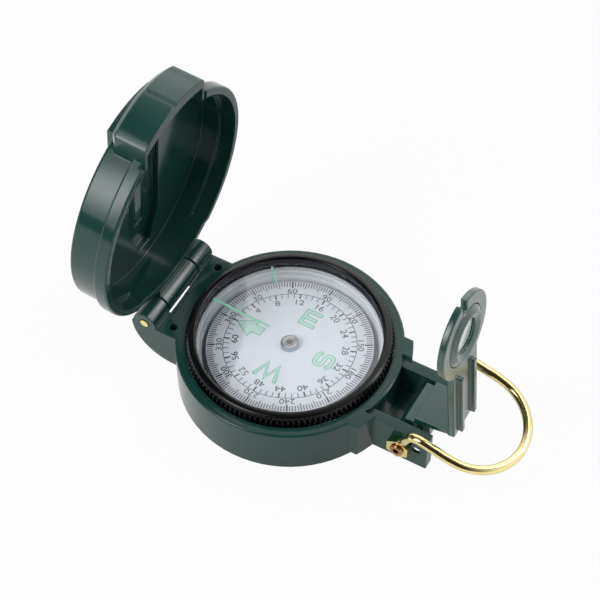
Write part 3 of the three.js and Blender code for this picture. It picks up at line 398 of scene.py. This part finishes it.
dressed("case_body", "case_shell", GREEN, bevel=FINE_BEVEL)
dressed("cover", "cover_shell", GREEN, bevel=WIDE_BEVEL)
dressed("sight_bracket", "sight_shell", GREEN_SIGHT, bevel=WIDE_BEVEL)
dressed("hinge_pin", "hinge_rod", BRASS)
dressed("capsule_seal", "capsule_ring", RUBBER)
dressed("capsule_lid", "capsule_glass", CRYSTAL)
dressed("pivot_post", "pivot_needle", STEEL)
dressed("dial_card", "dial_face", CARD)
dressed("dial_magnet", "dial_bar", STEEL)
dressed("bezel_spring", "bezel_washer", STEEL)
dressed("axle_tube", "axle_rivet", COPPER)
dressed("sighting_wire", "sighting_rod", STEEL)
dressed("sight_lens", "sight_glass", LENS)
dressed("lens_ring", "lens_keeper", GREEN_SIGHT, bevel=WIDE_BEVEL)
wire = dressed("thumb_loop", "thumb_ring", BRASS_WIRE, angle=50.0)

# The wire beyond its eyelets shows a little thicker than the solid, from a distance off its axle on
WIRE_SWELL = 0.25
SWELL_START = 4.0
SWELL_RUN = 2.5
axle = next(Vector(joint["pos_m"]) for joint in frame["joints"] if joint["name"] == "loop_swing")
for vertex in wire.data.vertices:
    away = math.hypot(vertex.co.x - axle.x, vertex.co.z - axle.z) / MM
    share = min(max((away - SWELL_START) / SWELL_RUN, 0.0), 1.0)
    vertex.co += vertex.normal * (WIRE_SWELL * share * MM)


# Turned pieces

def turned(name, profile, material, body, place=None, steps=180, angle=SHARP_ANGLE, wave=(0.0,)):
    """A closed solid turned about Z from points in millimetres: radius, height and, for teeth, their reach.

    The wave gives the teeth's shape round the piece, from 0 at their root to 1 at their tip.
    """
    bm = bmesh.new()
    rounds = []
    for radius, height, *reach in profile:
        if radius == 0:
            rounds.append([bm.verts.new((0, 0, height * MM))] * steps)
            continue
        corners = []
        for i in range(steps):
            turn = 2 * math.pi * i / steps
            out = (radius + sum(reach) * wave[i % len(wave)]) * MM
            corners.append(bm.verts.new((out * math.cos(turn), out * math.sin(turn), height * MM)))
        rounds.append(corners)
    for first, second in zip(rounds, rounds[1:] + rounds[:1]):
        for i in range(steps):
            j = (i + 1) % steps
            corners = list(dict.fromkeys([first[i], first[j], second[j], second[i]]))
            if len(corners) > 2:
                bm.faces.new(corners)
    bmesh.ops.recalc_face_normals(bm, faces=bm.faces)
    smooth(bm, angle)
    if place is not None:
        bm.transform(place)
    return piece_from(name, bm, material, body)


def measured(node):
    """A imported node's outer radius about Z and its lowest and highest points, in millimetres."""
    points = [v.co / MM for v in nodes[node].data.vertices]
    heights = [p.z for p in points]
    return max(math.hypot(p.x, p.y) for p in points), min(heights), max(heights)


# The capsule: a bowl whose wall comes in by steps, given by their inset and their drop from the rim, with a
# thin grey line round each step but the lowest, a painted shade at the step's edge
CUP_WALL = 0.95
CUP_FLOOR = 1.2
CUP_STEPS = [(0.0, 0.5), (0.45, 1.3), (0.75, 1.55), (1.0, 2.6)]
CUP_ANGLE = 15.0
LINE_WIDTH = 0.04
LINE_ANGLE = 50.0
cup_radius, cup_low, cup_high = measured("capsule_cup")
cup_inner = cup_radius - CUP_WALL
cup_profile = [(0, cup_low), (cup_radius, cup_low), (cup_radius, cup_high), (cup_inner, cup_high)]
cup_profile += [(cup_inner - inset, cup_high - drop) for inset, drop in CUP_STEPS]
cup_profile += [(cup_profile[-1][0], cup_low + CUP_FLOOR), (0, cup_low + CUP_FLOOR)]
cup_body = body_of("capsule_cup")
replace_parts(turned("capsule_bowl", cup_profile, CUP, cup_body, angle=CUP_ANGLE), "capsule_cup")
# painted shade: a thin grey ring at each step's edge
for count, (inset, drop) in enumerate(CUP_STEPS[:-1], 1):
    inner = cup_inner - inset - LINE_WIDTH
    outer = cup_inner - inset + LINE_WIDTH
    under = cup_high - drop - LINE_WIDTH
    over = cup_high - drop + LINE_WIDTH
    line_profile = [(inner, under), (outer, under), (outer, over), (inner, over)]
    turned(f"capsule_step_shade_{count}", line_profile, STEP_SHADE_LINE, cup_body, angle=LINE_ANGLE)

glass_radius, glass_low, glass_high = measured("crystal")
glass_profile = [(0, glass_low), (glass_radius, glass_low), (glass_radius, glass_high), (0, glass_high)]
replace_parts(turned("crystal_glass", glass_profile, CRYSTAL, body_of("crystal")), "crystal")

# The bezel: a rounded crown over a row of short teeth. The crown's points are distances out from the inner
# wall and heights off the solid's top, and the teeth's points are drops from that top and reaches
TOOTH_COUNT = 120
TOOTH_REACH = 0.65
TOOTH_WAVE = (0.0, 0.0, 0.55, 1.0, 1.0, 0.55)
CROWN = [(0.0, -0.4), (0.1, -0.16), (0.24, 0.0), (0.42, 0.08), (0.75, 0.1), (1.2, 0.04), (1.6, -0.08),
         (1.9, -0.24), (2.05, -0.44)]
TEETH = [(0.6, 0.12), (0.72, 0.3), (1.9, TOOTH_REACH), (3.4, TOOTH_REACH)]
TOOTH_ROOT = 2.02
TOOTH_FOOT = 3.5
SKIRT_FOOT = 4.3
SKIRT_INSET = 1.3
BEZEL_SEAT = 1.67
BEZEL_ANGLE = 40.0
bezel_top = measured("bezel_ring")[2]
bezel_inner = min(math.hypot(v.co.x, v.co.y) for v in nodes["bezel_ring"].data.vertices) / MM
tooth_root = bezel_inner + TOOTH_ROOT
skirt_inner = bezel_inner + SKIRT_INSET
bezel_profile = [(bezel_inner, bezel_top - BEZEL_SEAT)]
bezel_profile += [(bezel_inner + out, bezel_top + rise) for out, rise in CROWN]
bezel_profile += [(tooth_root, bezel_top - drop, reach) for drop, reach in TEETH]
bezel_profile += [(tooth_root, bezel_top - TOOTH_FOOT), (tooth_root, bezel_top - SKIRT_FOOT),
                  (skirt_inner, bezel_top - SKIRT_FOOT), (skirt_inner, bezel_top - BEZEL_SEAT)]
bezel_body = body_of("bezel_ring")
bezel = turned("bezel_crown", bezel_profile, BLACK, bezel_body, steps=TOOTH_COUNT * len(TOOTH_WAVE),
               angle=BEZEL_ANGLE, wave=TOOTH_WAVE)
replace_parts(bezel, "bezel_ring")

# A satin lip round the bezel's inner wall, coloured grey: a painted reflection of the bright dial in the
# black lip
LIP_PROUD = 0.02
LIP_DEPTH = 0.2
LIP_TOP = 0.45
LIP_CHAMFER = 0.07
LIP_FOOT = 1.66
lip_inner = bezel_inner - LIP_PROUD
lip_outer = bezel_inner + LIP_DEPTH
lip = turned("bezel_lip", [
    (lip_inner, bezel_top - LIP_FOOT), (lip_inner, bezel_top - LIP_TOP - LIP_CHAMFER),
    (bezel_inner + LIP_PROUD, bezel_top - LIP_TOP), (lip_outer, bezel_top - LIP_TOP),
    (lip_outer, bezel_top - LIP_FOOT)],
    LIP_PAINTED_REFLECTION, bezel_body, angle=BEZEL_ANGLE)

# A collar that brings the case's rim in to the teeth
RIM_TOP = 14.18
COLLAR_OUTER = 27.1
COLLAR_DEPTH = 0.9
COLLAR_CHAMFER = 0.12
COLLAR_PROUD = 0.005
COLLAR_CLEARANCE = 0.05
COLLAR_ANGLE = 20.0
collar_inner = tooth_root + TOOTH_REACH + COLLAR_CLEARANCE
collar_top = RIM_TOP + COLLAR_PROUD
collar = turned("case_collar", [
    (collar_inner, RIM_TOP - COLLAR_DEPTH), (collar_inner, RIM_TOP - COLLAR_CHAMFER),
    (collar_inner + COLLAR_CHAMFER, collar_top), (COLLAR_OUTER, collar_top),
    (COLLAR_OUTER, RIM_TOP - COLLAR_DEPTH)],
    GREEN, body_of("case_body"), angle=COLLAR_ANGLE)

# Rounded lips that close most of the gap between the hinge block and the cover's knuckle, by their corners
HINGE_LIPS = [((-30.3, -7.05, 6.0), (-29.1, 0.4, 14.0)), ((-30.4, 0.4, 6.0), (-29.1, 7.05, 12.6))]
HINGE_LIP_FRONT = -30.0
HINGE_LIP_ROUND = 0.3
HINGE_LIP_ANGLE = 40.0
bm = bmesh.new()
for low, high in HINGE_LIPS:
    middle = (Vector(low) + Vector(high)) / 2 * MM
    size = (Vector(high) - Vector(low)) * MM
    bmesh.ops.create_cube(bm, size=1.0, matrix=Matrix.Translation(middle) @ Matrix.Diagonal((*size, 1)))
front_edges = [e for e in bm.edges if all(v.co.x < HINGE_LIP_FRONT * MM for v in e.verts)]
bmesh.ops.bevel(bm, geom=front_edges, offset=HINGE_LIP_ROUND * MM, segments=3, affect="EDGES", profile=0.5)
smooth(bm, HINGE_LIP_ANGLE)
piece_from("hinge_lips", bm, GREEN, body_of("case_body"))


# Luminous lines on the crystal

STRIP_SHARE = 0.85
STRIP_CORNERS = [(-1, -1), (1, -1), (1, 1), (-1, 1)]


def strip(node, name):
    """The middle part of a packed bar, set on the crystal in the bar's place."""
    points = [v.co.copy() for v in nodes[node].data.vertices]
    middle = sum(points, Vector((0, 0, 0))) / len(points)
    along = Vector((middle.x, middle.y, 0)).normalized()
    across = Vector((-along.y, along.x, 0))
    half_length = max((p - middle).dot(along) for p in points)
    half_width = max((p - middle).dot(across) for p in points) * STRIP_SHARE
    top = max(p.z for p in points)
    bm = bmesh.new()
    corners = [middle + along * half_length * a + across * half_width * b for a, b in STRIP_CORNERS]
    low = [bm.verts.new((c.x, c.y, glass_high * MM)) for c in corners]
    high = [bm.verts.new((c.x, c.y, top)) for c in corners]
    bm.faces.new(low[::-1])
    bm.faces.new(high)
    for i in range(len(corners)):
        j = (i + 1) % len(corners)
        bm.faces.new([low[i], low[j], high[j], high[i]])
    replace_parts(piece_from(name, bm, GLOW_LINE, body_of(node)), node)


strip("bearing_line", "bearing_bar")
strip("bearing_mark", "bearing_tick")


# The card's frame and the hub on it

NORTH_ANGLE = 177.4
FACING_UP = 0.9


def card_frame():
    """The card's own frame: origin at the middle of its face, X toward its north mark, Z off its face."""
    mesh = nodes["dial_card"].data
    up = Vector((0, 0, 0))
    for face in mesh.polygons:
        if face.normal.z > FACING_UP:
            up += face.normal * face.area
    up.normalize()
    points = [v.co for v in mesh.vertices]
    height = max(p.dot(up) for p in points)
    middle = sum(points, Vector((0, 0, 0))) / len(points)
    origin = middle + up * (height - middle.dot(up))
    north = Vector((math.cos(math.radians(NORTH_ANGLE)), math.sin(math.radians(NORTH_ANGLE)), 0))
    ahead = (north - up * north.dot(up)).normalized()
    side = up.cross(ahead)
    return Matrix.Translation(origin) @ Matrix((ahead, side, up)).transposed().to_4x4()


CARD_FRAME = card_frame()

# Radii and heights off the card, in millimetres
HUB_CAP = [(0.8, -2.6), (1.35, -2.6), (1.35, -0.02), (2.35, -0.02), (2.37, 0.5), (2.34, 0.95), (2.24, 1.2),
           (2.08, 1.34), (1.95, 1.36), (1.86, 1.28), (1.8, 1.08), (0.8, 1.04)]
HUB_RIM = [(1.44, 1.03), (1.84, 1.03), (1.8, 1.22), (1.68, 1.29), (1.54, 1.25), (1.45, 1.14)]
HUB_RING = [(0.76, 1.02), (1.06, 1.02), (1.05, 1.26), (0.98, 1.34), (0.9, 1.34), (0.82, 1.26)]
HUB_JEWEL = [(0, 1.0), (0.8, 1.0), (0.8, 1.14), (0.66, 1.34), (0.38, 1.47), (0, 1.52)]
HUB_STEPS = 64
JEWEL_STEPS = 48
HUB_ANGLE = 50.0
JEWEL_ANGLE = 60.0
hub_body = body_of("dial_hub")
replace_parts(turned("hub_cap", HUB_CAP, HUB_STEEL, hub_body, CARD_FRAME, HUB_STEPS, HUB_ANGLE), "dial_hub")
turned("hub_rim", HUB_RIM, STEEL, hub_body, CARD_FRAME, HUB_STEPS, HUB_ANGLE)
turned("hub_ring", HUB_RING, HUB_BRASS, hub_body, CARD_FRAME, JEWEL_STEPS, HUB_ANGLE)
turned("hub_jewel", HUB_JEWEL, JEWEL, hub_body, CARD_FRAME, JEWEL_STEPS, JEWEL_ANGLE)


# Dial print, in millimetres on the card: a scale of degrees outside and a scale of 64 marks inside

PRINT_LIFT = 0.02
PRINT_THICKNESS = 0.02
DEGREE_STEP = 2
DEGREE_MIDDLE = 10
DEGREE_LABEL = 30
TICK_OUTER = 20.66
TICK_SHORT = 1.5
TICK_TEN = 2.1
TICK_THIRTY = 2.0
TICK_FINE = 0.24
TICK_HEAVY = 0.42
DEGREE_LABEL_RADIUS = 17.65
DEGREE_LABEL_SIZE = 2.15
DEGREE_LABEL_STRETCH = 1.25
MIL_MARKS = 64
MIL_LABEL = 4
MIL_RADIUS = 16.69
MIL_SHORT = 1.4
MIL_LONG = 1.5
MIL_FINE = 0.2
MIL_HEAVY = 0.4
MIL_RING = 0.16
MIL_LABEL_RADIUS = 13.95
MIL_LABEL_SIZE = 2.4
MIL_LABEL_STRETCH = 1.15
LABEL_CURVE_STEPS = 4


def on_card(degrees, radius, lift=PRINT_LIFT):
    """A point on the card, by its scale mark and its radius in millimetres."""
    turn = math.radians(-degrees)
    return Vector((radius * math.cos(turn), radius * math.sin(turn), lift)) * MM


def printed(name, bm, material):
    """Gives flat print a little thickness and sets it on the card."""
    made = bmesh.ops.extrude_face_region(bm, geom=bm.faces[:])
    raised = [v for v in made["geom"] if isinstance(v, bmesh.types.BMVert)]
    bmesh.ops.translate(bm, verts=raised, vec=(0, 0, PRINT_THICKNESS * MM))
    bmesh.ops.recalc_face_normals(bm, faces=bm.faces)
    bm.transform(CARD_FRAME)
    return piece_from(name, bm, material, "dial")


def bar(bm, degrees, outer, length, width):
    """A tick that runs inward from a radius."""
    along = on_card(degrees, 1.0, 0.0)
    across = Vector((-along.y, along.x, 0)) * (width / 2)
    lift = Vector((0, 0, PRINT_LIFT * MM))
    inner = outer - length
    start = along * outer
    end = along * inner
    corners = [start + across, start - across, end - across, end + across]
    bm.faces.new([bm.verts.new(c + lift) for c in corners])


def ring(bm, radius, width, steps=360):
    inner = [bm.verts.new(on_card(FULL_TURN * i / steps, radius - width / 2)) for i in range(steps)]
    outer = [bm.verts.new(on_card(FULL_TURN * i / steps, radius + width / 2)) for i in range(steps)]
    for i in range(steps):
        j = (i + 1) % steps
        bm.faces.new([inner[i], outer[i], outer[j], inner[j]])


def label(bm, text, degrees, radius, size, stretch):
    """Plain numerals, their tops turned outward, middle at that mark and radius."""
    curve = bpy.data.curves.new("label", "FONT")
    curve.body = text
    curve.size = size * MM
    curve.align_x = "CENTER"
    curve.resolution_u = LABEL_CURVE_STEPS
    holder = bpy.data.objects.new("label", curve)
    scene.collection.objects.link(holder)
    bpy.context.view_layer.update()
    mesh = bpy.data.meshes.new_from_object(holder.evaluated_get(bpy.context.evaluated_depsgraph_get()))
    heights = [v.co.y for v in mesh.vertices]
    middle = (min(heights) + max(heights)) / 2
    turn = Matrix.Rotation(math.radians(-degrees - QUARTER_TURN), 4, "Z")
    mesh.transform(Matrix.Translation(on_card(degrees, radius)) @ turn
                   @ Matrix.Diagonal((stretch, 1, 1, 1)) @ Matrix.Translation((0, -middle, 0)))
    bm.from_mesh(mesh)
    bpy.data.objects.remove(holder)
    bpy.data.curves.remove(curve)
    bpy.data.meshes.remove(mesh)


fine = bmesh.new()
heavy = bmesh.new()
for mark in range(0, int(FULL_TURN), DEGREE_STEP):
    if mark % DEGREE_LABEL == 0:
        bar(heavy, mark, TICK_OUTER, TICK_THIRTY, TICK_HEAVY)
    elif mark % DEGREE_MIDDLE == 0:
        bar(fine, mark, TICK_OUTER, TICK_TEN, TICK_FINE)
    else:
        bar(fine, mark, TICK_OUTER, TICK_SHORT, TICK_FINE)
ring(fine, MIL_RADIUS, MIL_RING)
for mark in range(MIL_MARKS):
    turn = mark * FULL_TURN / MIL_MARKS
    if mark % MIL_LABEL == 0:
        bar(heavy, turn, MIL_RADIUS, MIL_LONG, MIL_HEAVY)
    else:
        bar(fine, turn, MIL_RADIUS, MIL_SHORT, MIL_FINE)
for mark in range(DEGREE_LABEL, int(FULL_TURN) + 1, DEGREE_LABEL):
    label(heavy, str(mark), mark, DEGREE_LABEL_RADIUS, DEGREE_LABEL_SIZE, DEGREE_LABEL_STRETCH)
for mark in range(MIL_LABEL, MIL_MARKS, MIL_LABEL):
    turn = mark * FULL_TURN / MIL_MARKS
    label(heavy, str(mark), turn, MIL_LABEL_RADIUS, MIL_LABEL_SIZE, MIL_LABEL_STRETCH)
printed("dial_scale_fine", fine, INK)
printed("dial_scale_heavy", heavy, INK_HEAVY)


# Luminous letters and arrow

MITRE_LIMIT = 0.35
EDGE_LIFT = 0.03


def reach_of(before, after, distance):
    """How far a corner between two directions moves to the right for both its sides to move by distance."""
    first = Vector((before.y, -before.x))
    half = first + Vector((after.y, -after.x))
    return half * (distance / max(half.dot(first), MITRE_LIMIT))


def shifted(points, distance):
    """A closed counter-clockwise outline moved outward by distance, its corners kept square."""
    moved = []
    for i, point in enumerate(points):
        before = (point - points[i - 1]).normalized()
        after = (points[(i + 1) % len(points)] - point).normalized()
        moved.append(point + reach_of(before, after, distance))
    return moved


def widened(path, width):
    """The outline of a flat stroke along an open path, counter-clockwise."""
    left = []
    right = []
    for i, point in enumerate(path):
        before = (path[i] - path[i - 1]).normalized() if i else (path[1] - path[0]).normalized()
        after = (path[i + 1] - path[i]).normalized() if i < len(path) - 1 else before
        reach = reach_of(before, after, width / 2)
        right.append(point + reach)
        left.append(point - reach)
    return right + left[::-1]


def area(points):
    return sum(a.x * b.y - b.x * a.y for a, b in zip(points, points[1:] + points[:1])) / 2


def luminous(name, points, edge):
    """A luminous shape on the card: a pale body with a darker line round it."""
    outline = [Vector(p) for p in points]
    if area(outline) < 0:
        outline.reverse()
    body = bmesh.new()
    corners = [body.verts.new((p.x * MM, p.y * MM, PRINT_LIFT * MM)) for p in shifted(outline, -edge / 2)]
    face = body.faces.new(corners)
    face.normal_update()
    bmesh.ops.triangulate(body, faces=[face])
    printed(name + "_body", body, GLOW)
    line = bmesh.new()
    outer = [line.verts.new((p.x * MM, p.y * MM, EDGE_LIFT * MM)) for p in outline]
    inner = [line.verts.new((p.x * MM, p.y * MM, EDGE_LIFT * MM)) for p in shifted(outline, -edge)]
    for i in range(len(outer)):
        j = (i + 1) % len(outer)
        line.faces.new([outer[i], outer[j], inner[j], inner[i]])
    printed(name + "_line", line, GLOW_EDGE)


def rounded_path(points, radius, steps=6):
    """An open path with its corners rounded."""
    path = [Vector(points[0])]
    for i in range(1, len(points) - 1):
        before, corner, after = (Vector(p) for p in points[i - 1:i + 2])
        start = corner + (before - corner).normalized() * radius
        end = corner + (after - corner).normalized() * radius
        for step in range(steps + 1):
            t = step / steps
            path.append(start * (1 - t) ** 2 + corner * (2 * t * (1 - t)) + end * t * t)
    path.append(Vector(points[-1]))
    return path


def turned_to(points, degrees, radius):
    """Moves a letter drawn upright about its middle to a mark on the card, its top outward."""
    middle = on_card(degrees, radius, 0.0) / MM
    turn = math.radians(-degrees - QUARTER_TURN)
    cos = math.cos(turn)
    sin = math.sin(turn)
    return [(middle.x + x * cos - y * sin, middle.y + x * sin + y * cos) for x, y in points]


LETTER_TALL = 5.3
LETTER_WIDE = 4.6
LETTER_RADIUS = 9.7
STROKE = 1.12
half_tall = LETTER_TALL / 2
half_wide = LETTER_WIDE / 2

E_MARK = 90.0
E_ARM = 0.85
E_EDGE = 0.22
arm_middle = STROKE / 2
letter_e = [
    (-half_wide, -half_tall), (half_wide, -half_tall), (half_wide, -half_tall + STROKE),
    (-half_wide + STROKE, -half_tall + STROKE), (-half_wide + STROKE, -arm_middle),
    (half_wide * E_ARM, -arm_middle), (half_wide * E_ARM, arm_middle), (-half_wide + STROKE, arm_middle),
    (-half_wide + STROKE, half_tall - STROKE), (half_wide, half_tall - STROKE), (half_wide, half_tall),
    (-half_wide, half_tall),
]
luminous("letter_e", turned_to(letter_e, E_MARK, LETTER_RADIUS), E_EDGE)

S_MARK = 180.0
S_RADIUS = 9.9
S_END = 0.55
S_CORNER = 0.95
S_EDGE = 0.2
s_side = half_wide - STROKE / 2
s_top = half_tall - STROKE / 2
path_s = rounded_path([
    (s_side, s_top * S_END), (s_side, s_top), (-s_side, s_top), (-s_side, 0.0), (s_side, 0.0),
    (s_side, -s_top), (-s_side, -s_top), (-s_side, -s_top * S_END)], S_CORNER)
letter_s = [(p.x, p.y) for p in widened(path_s, STROKE)]
luminous("letter_s", turned_to(letter_s, S_MARK, S_RADIUS), S_EDGE)

W_MARK = 270.0
W_PATH = [(-3.0, 2.55), (-1.55, -2.2), (0.0, 2.2), (1.55, -2.2), (3.0, 2.55)]
W_STROKE = 1.05
W_EDGE = 0.25
letter_w = [(p.x, p.y) for p in widened([Vector(p) for p in W_PATH], W_STROKE)]
luminous("letter_w", turned_to(letter_w, W_MARK, LETTER_RADIUS), W_EDGE)

ARROW = [(15.75, 0.0), (10.2, -3.1), (10.6, -1.35), (8.05, -1.35), (8.05, 1.35), (10.6, 1.35), (10.75, 3.1)]
ARROW_EDGE = 0.2
luminous("north_arrow", ARROW, ARROW_EDGE)


# Lamps

LAMP_MIDDLE = (0.5, 0.5, 0.0)
LAMP_REACH = (0.0, 0.5)


def lamp(name, place, target, size, power, edge_level, lean=(0, 0, 1)):
    """A soft rectangular lamp aimed at a point, its long side along lean, brightest at its middle."""
    data = bpy.data.lights.new(name, "AREA")
    data.shape = "RECTANGLE"
    data.size, data.size_y = size
    data.energy = power
    g = Graph(data, "ShaderNodeOutputLight")
    spot = g.add("ShaderNodeNewGeometry").outputs["Parametric"]
    off_middle = g.vector("DISTANCE", spot, LAMP_MIDDLE)
    level = g.span(off_middle, LAMP_REACH, (1.0, edge_level), "SMOOTHSTEP")
    g.finish(g.add("ShaderNodeEmission", {"Strength": level}).outputs["Emission"])
    light = bpy.data.objects.new(name, data)
    behind = (Vector(place) - Vector(target)).normalized()
    across = Vector(lean).cross(behind).normalized()
    turn = Matrix((across, behind.cross(across), behind)).transposed().to_4x4()
    light.matrix_world = Matrix.Translation(place) @ turn
    light.visible_transmission = False
    scene.collection.objects.link(light)


lamp("softbox_right", place=(0.33, 0.294, 0.408), target=(0, 0, 0.015), size=(0.09, 0.72), power=1.75,
     edge_level=0.12, lean=(-0.7, 0, 0.7))
lamp("softbox_front", place=(-0.206, -0.404, 0.42), target=(0, 0, 0.03), size=(0.32, 0.6), power=3.75,
     edge_level=0.25)


# Floor: white to the camera but for the object's shadow, and in reflections darker near two places on it, a
# painted shadow of the object

WHITE = (1.0, 1.0, 1.0, 1.0)
PAPER = (0.8, 0.8, 0.8, 1.0)
FLOOR_HALF = 4.0
FLOOR_PARTS = 24
FLOOR_WHITENESS = 0.955
SHADED_FRONT = (0.03, -0.035, 0.0)
FRONT_REACH = (0.01, 0.075)
FRONT_LEVEL = (0.15, 1.0)
SHADED_BACK = (0.01, 0.06, 0.0)
BACK_REACH = (0.03, 0.12)
BACK_LEVEL = (0.03, 1.0)

bm = bmesh.new()
bmesh.ops.create_grid(bm, x_segments=FLOOR_PARTS, y_segments=FLOOR_PARTS, size=FLOOR_HALF)
floor_mesh = bpy.data.meshes.new("floor")
bm.to_mesh(floor_mesh)
bm.free()
floor = bpy.data.objects.new("floor", floor_mesh)
scene.collection.objects.link(floor)
g = material_graph("studio_floor")
paper = g.add("ShaderNodeBsdfDiffuse", {"Color": PAPER}).outputs["BSDF"]
glow = g.add("ShaderNodeEmission", {"Color": WHITE, "Strength": 1.0}).outputs["Emission"]
path = g.add("ShaderNodeLightPath").outputs
# Painted shadow: in reflections the floor darkens near two places around the object
front = g.span(g.vector("DISTANCE", g.place(), SHADED_FRONT), FRONT_REACH, FRONT_LEVEL)
back = g.span(g.vector("DISTANCE", g.place(), SHADED_BACK), BACK_REACH, BACK_LEVEL)
mirrored = g.maths("MULTIPLY", path["Is Glossy Ray"], g.maths("MINIMUM", front, back))
seen = g.maths("MAXIMUM", g.maths("MULTIPLY", path["Is Camera Ray"], FLOOR_WHITENESS), mirrored)
floor_mesh.materials.append(g.finish(g.blend(seen, paper, glow)))
floor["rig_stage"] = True


# World: a light tent. Reflections are dark toward its open side and brightest toward its glowing side, and
# soft light comes from its bright side. The camera sees white, through glass too

OPEN_SIDE = (-0.2, -0.75, 0.63)
OPEN_REACH = (0.75, -0.1)
OPEN_LEVEL = (0.03, 1.0)
GLOW_SIDE = (-0.26, 0.8, 0.545)
GLOW_REACH = (0.87, 1.0)
GLOW_LEVEL = (0.0, 0.8)
BRIGHT_SIDE = (-0.2, 0.25, 0.95)
BRIGHT_REACH = (-0.3, 0.9)
BRIGHT_LEVEL = (0.03, 0.64)
FILL_COLOUR = (0.96, 0.98, 1.0, 1.0)
NOT_YET_DIFFUSE = 0.5

world = bpy.data.worlds.new("studio")
scene.world = world
world.cycles.sampling_method = "NONE"
g = Graph(world, "ShaderNodeOutputWorld")
path = g.add("ShaderNodeLightPath").outputs
toward = g.add("ShaderNodeTexCoord").outputs["Generated"]


def toward_level(direction, reach, level):
    """How bright the world is, by how far it lies toward a direction."""
    return g.span(g.vector("DOT_PRODUCT", toward, direction), reach, level, "SMOOTHSTEP")


def backdrop(shade, strength):
    return g.add("ShaderNodeBackground", {"Color": shade, "Strength": strength}).outputs["Background"]


tent_level = g.maths("ADD", toward_level(OPEN_SIDE, OPEN_REACH, OPEN_LEVEL),
                     toward_level(GLOW_SIDE, GLOW_REACH, GLOW_LEVEL))
tent = backdrop(WHITE, tent_level)
fill = backdrop(FILL_COLOUR, toward_level(BRIGHT_SIDE, BRIGHT_REACH, BRIGHT_LEVEL))
lit = g.blend(path["Is Glossy Ray"], fill, tent)
unlit = g.maths("LESS_THAN", path["Diffuse Depth"], NOT_YET_DIFFUSE)
through = g.maths("MULTIPLY", path["Is Transmission Ray"], unlit)
direct = g.maths("MAXIMUM", path["Is Camera Ray"], through)
g.finish(g.blend(direct, lit, backdrop(WHITE, 1.0)))


# Camera: turn round the object, height above the horizon, roll, distance and aim, as the photograph has them

CAMERA_AZIMUTH = 29.84
CAMERA_ELEVATION = 53.06
CAMERA_ROLL = -0.59
CAMERA_DISTANCE = 455.2 * MM
CAMERA_RIGHT = 2.43 * MM
CAMERA_UP = 18.33 * MM
CAMERA_LENS = 107.82
SENSOR = 36.0
CLIP_START = 0.01

camera_data = bpy.data.cameras.new("camera")
camera_data.lens = CAMERA_LENS
camera_data.sensor_width = SENSOR
camera_data.clip_start = CLIP_START
camera = bpy.data.objects.new("camera", camera_data)
scene.collection.objects.link(camera)
azimuth = math.radians(CAMERA_AZIMUTH)
elevation = math.radians(CAMERA_ELEVATION)
roll = math.radians(CAMERA_ROLL)
level = Vector((math.cos(azimuth), math.sin(azimuth), 0.0))
away = Vector((math.sin(azimuth), -math.cos(azimuth), 0.0))
back = away * math.cos(elevation) + Vector((0, 0, math.sin(elevation)))
upright = back.cross(level)
right = level * math.cos(roll) + upright * math.sin(roll)
up = upright * math.cos(roll) - level * math.sin(roll)
place = back * CAMERA_DISTANCE + right * CAMERA_RIGHT + up * CAMERA_UP
camera.matrix_world = Matrix.Translation(place) @ Matrix((right, up, back)).transposed().to_4x4()
scene.camera = camera

scene.view_settings.view_transform = "Standard"

bpy.context.view_layer.update()
low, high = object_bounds()
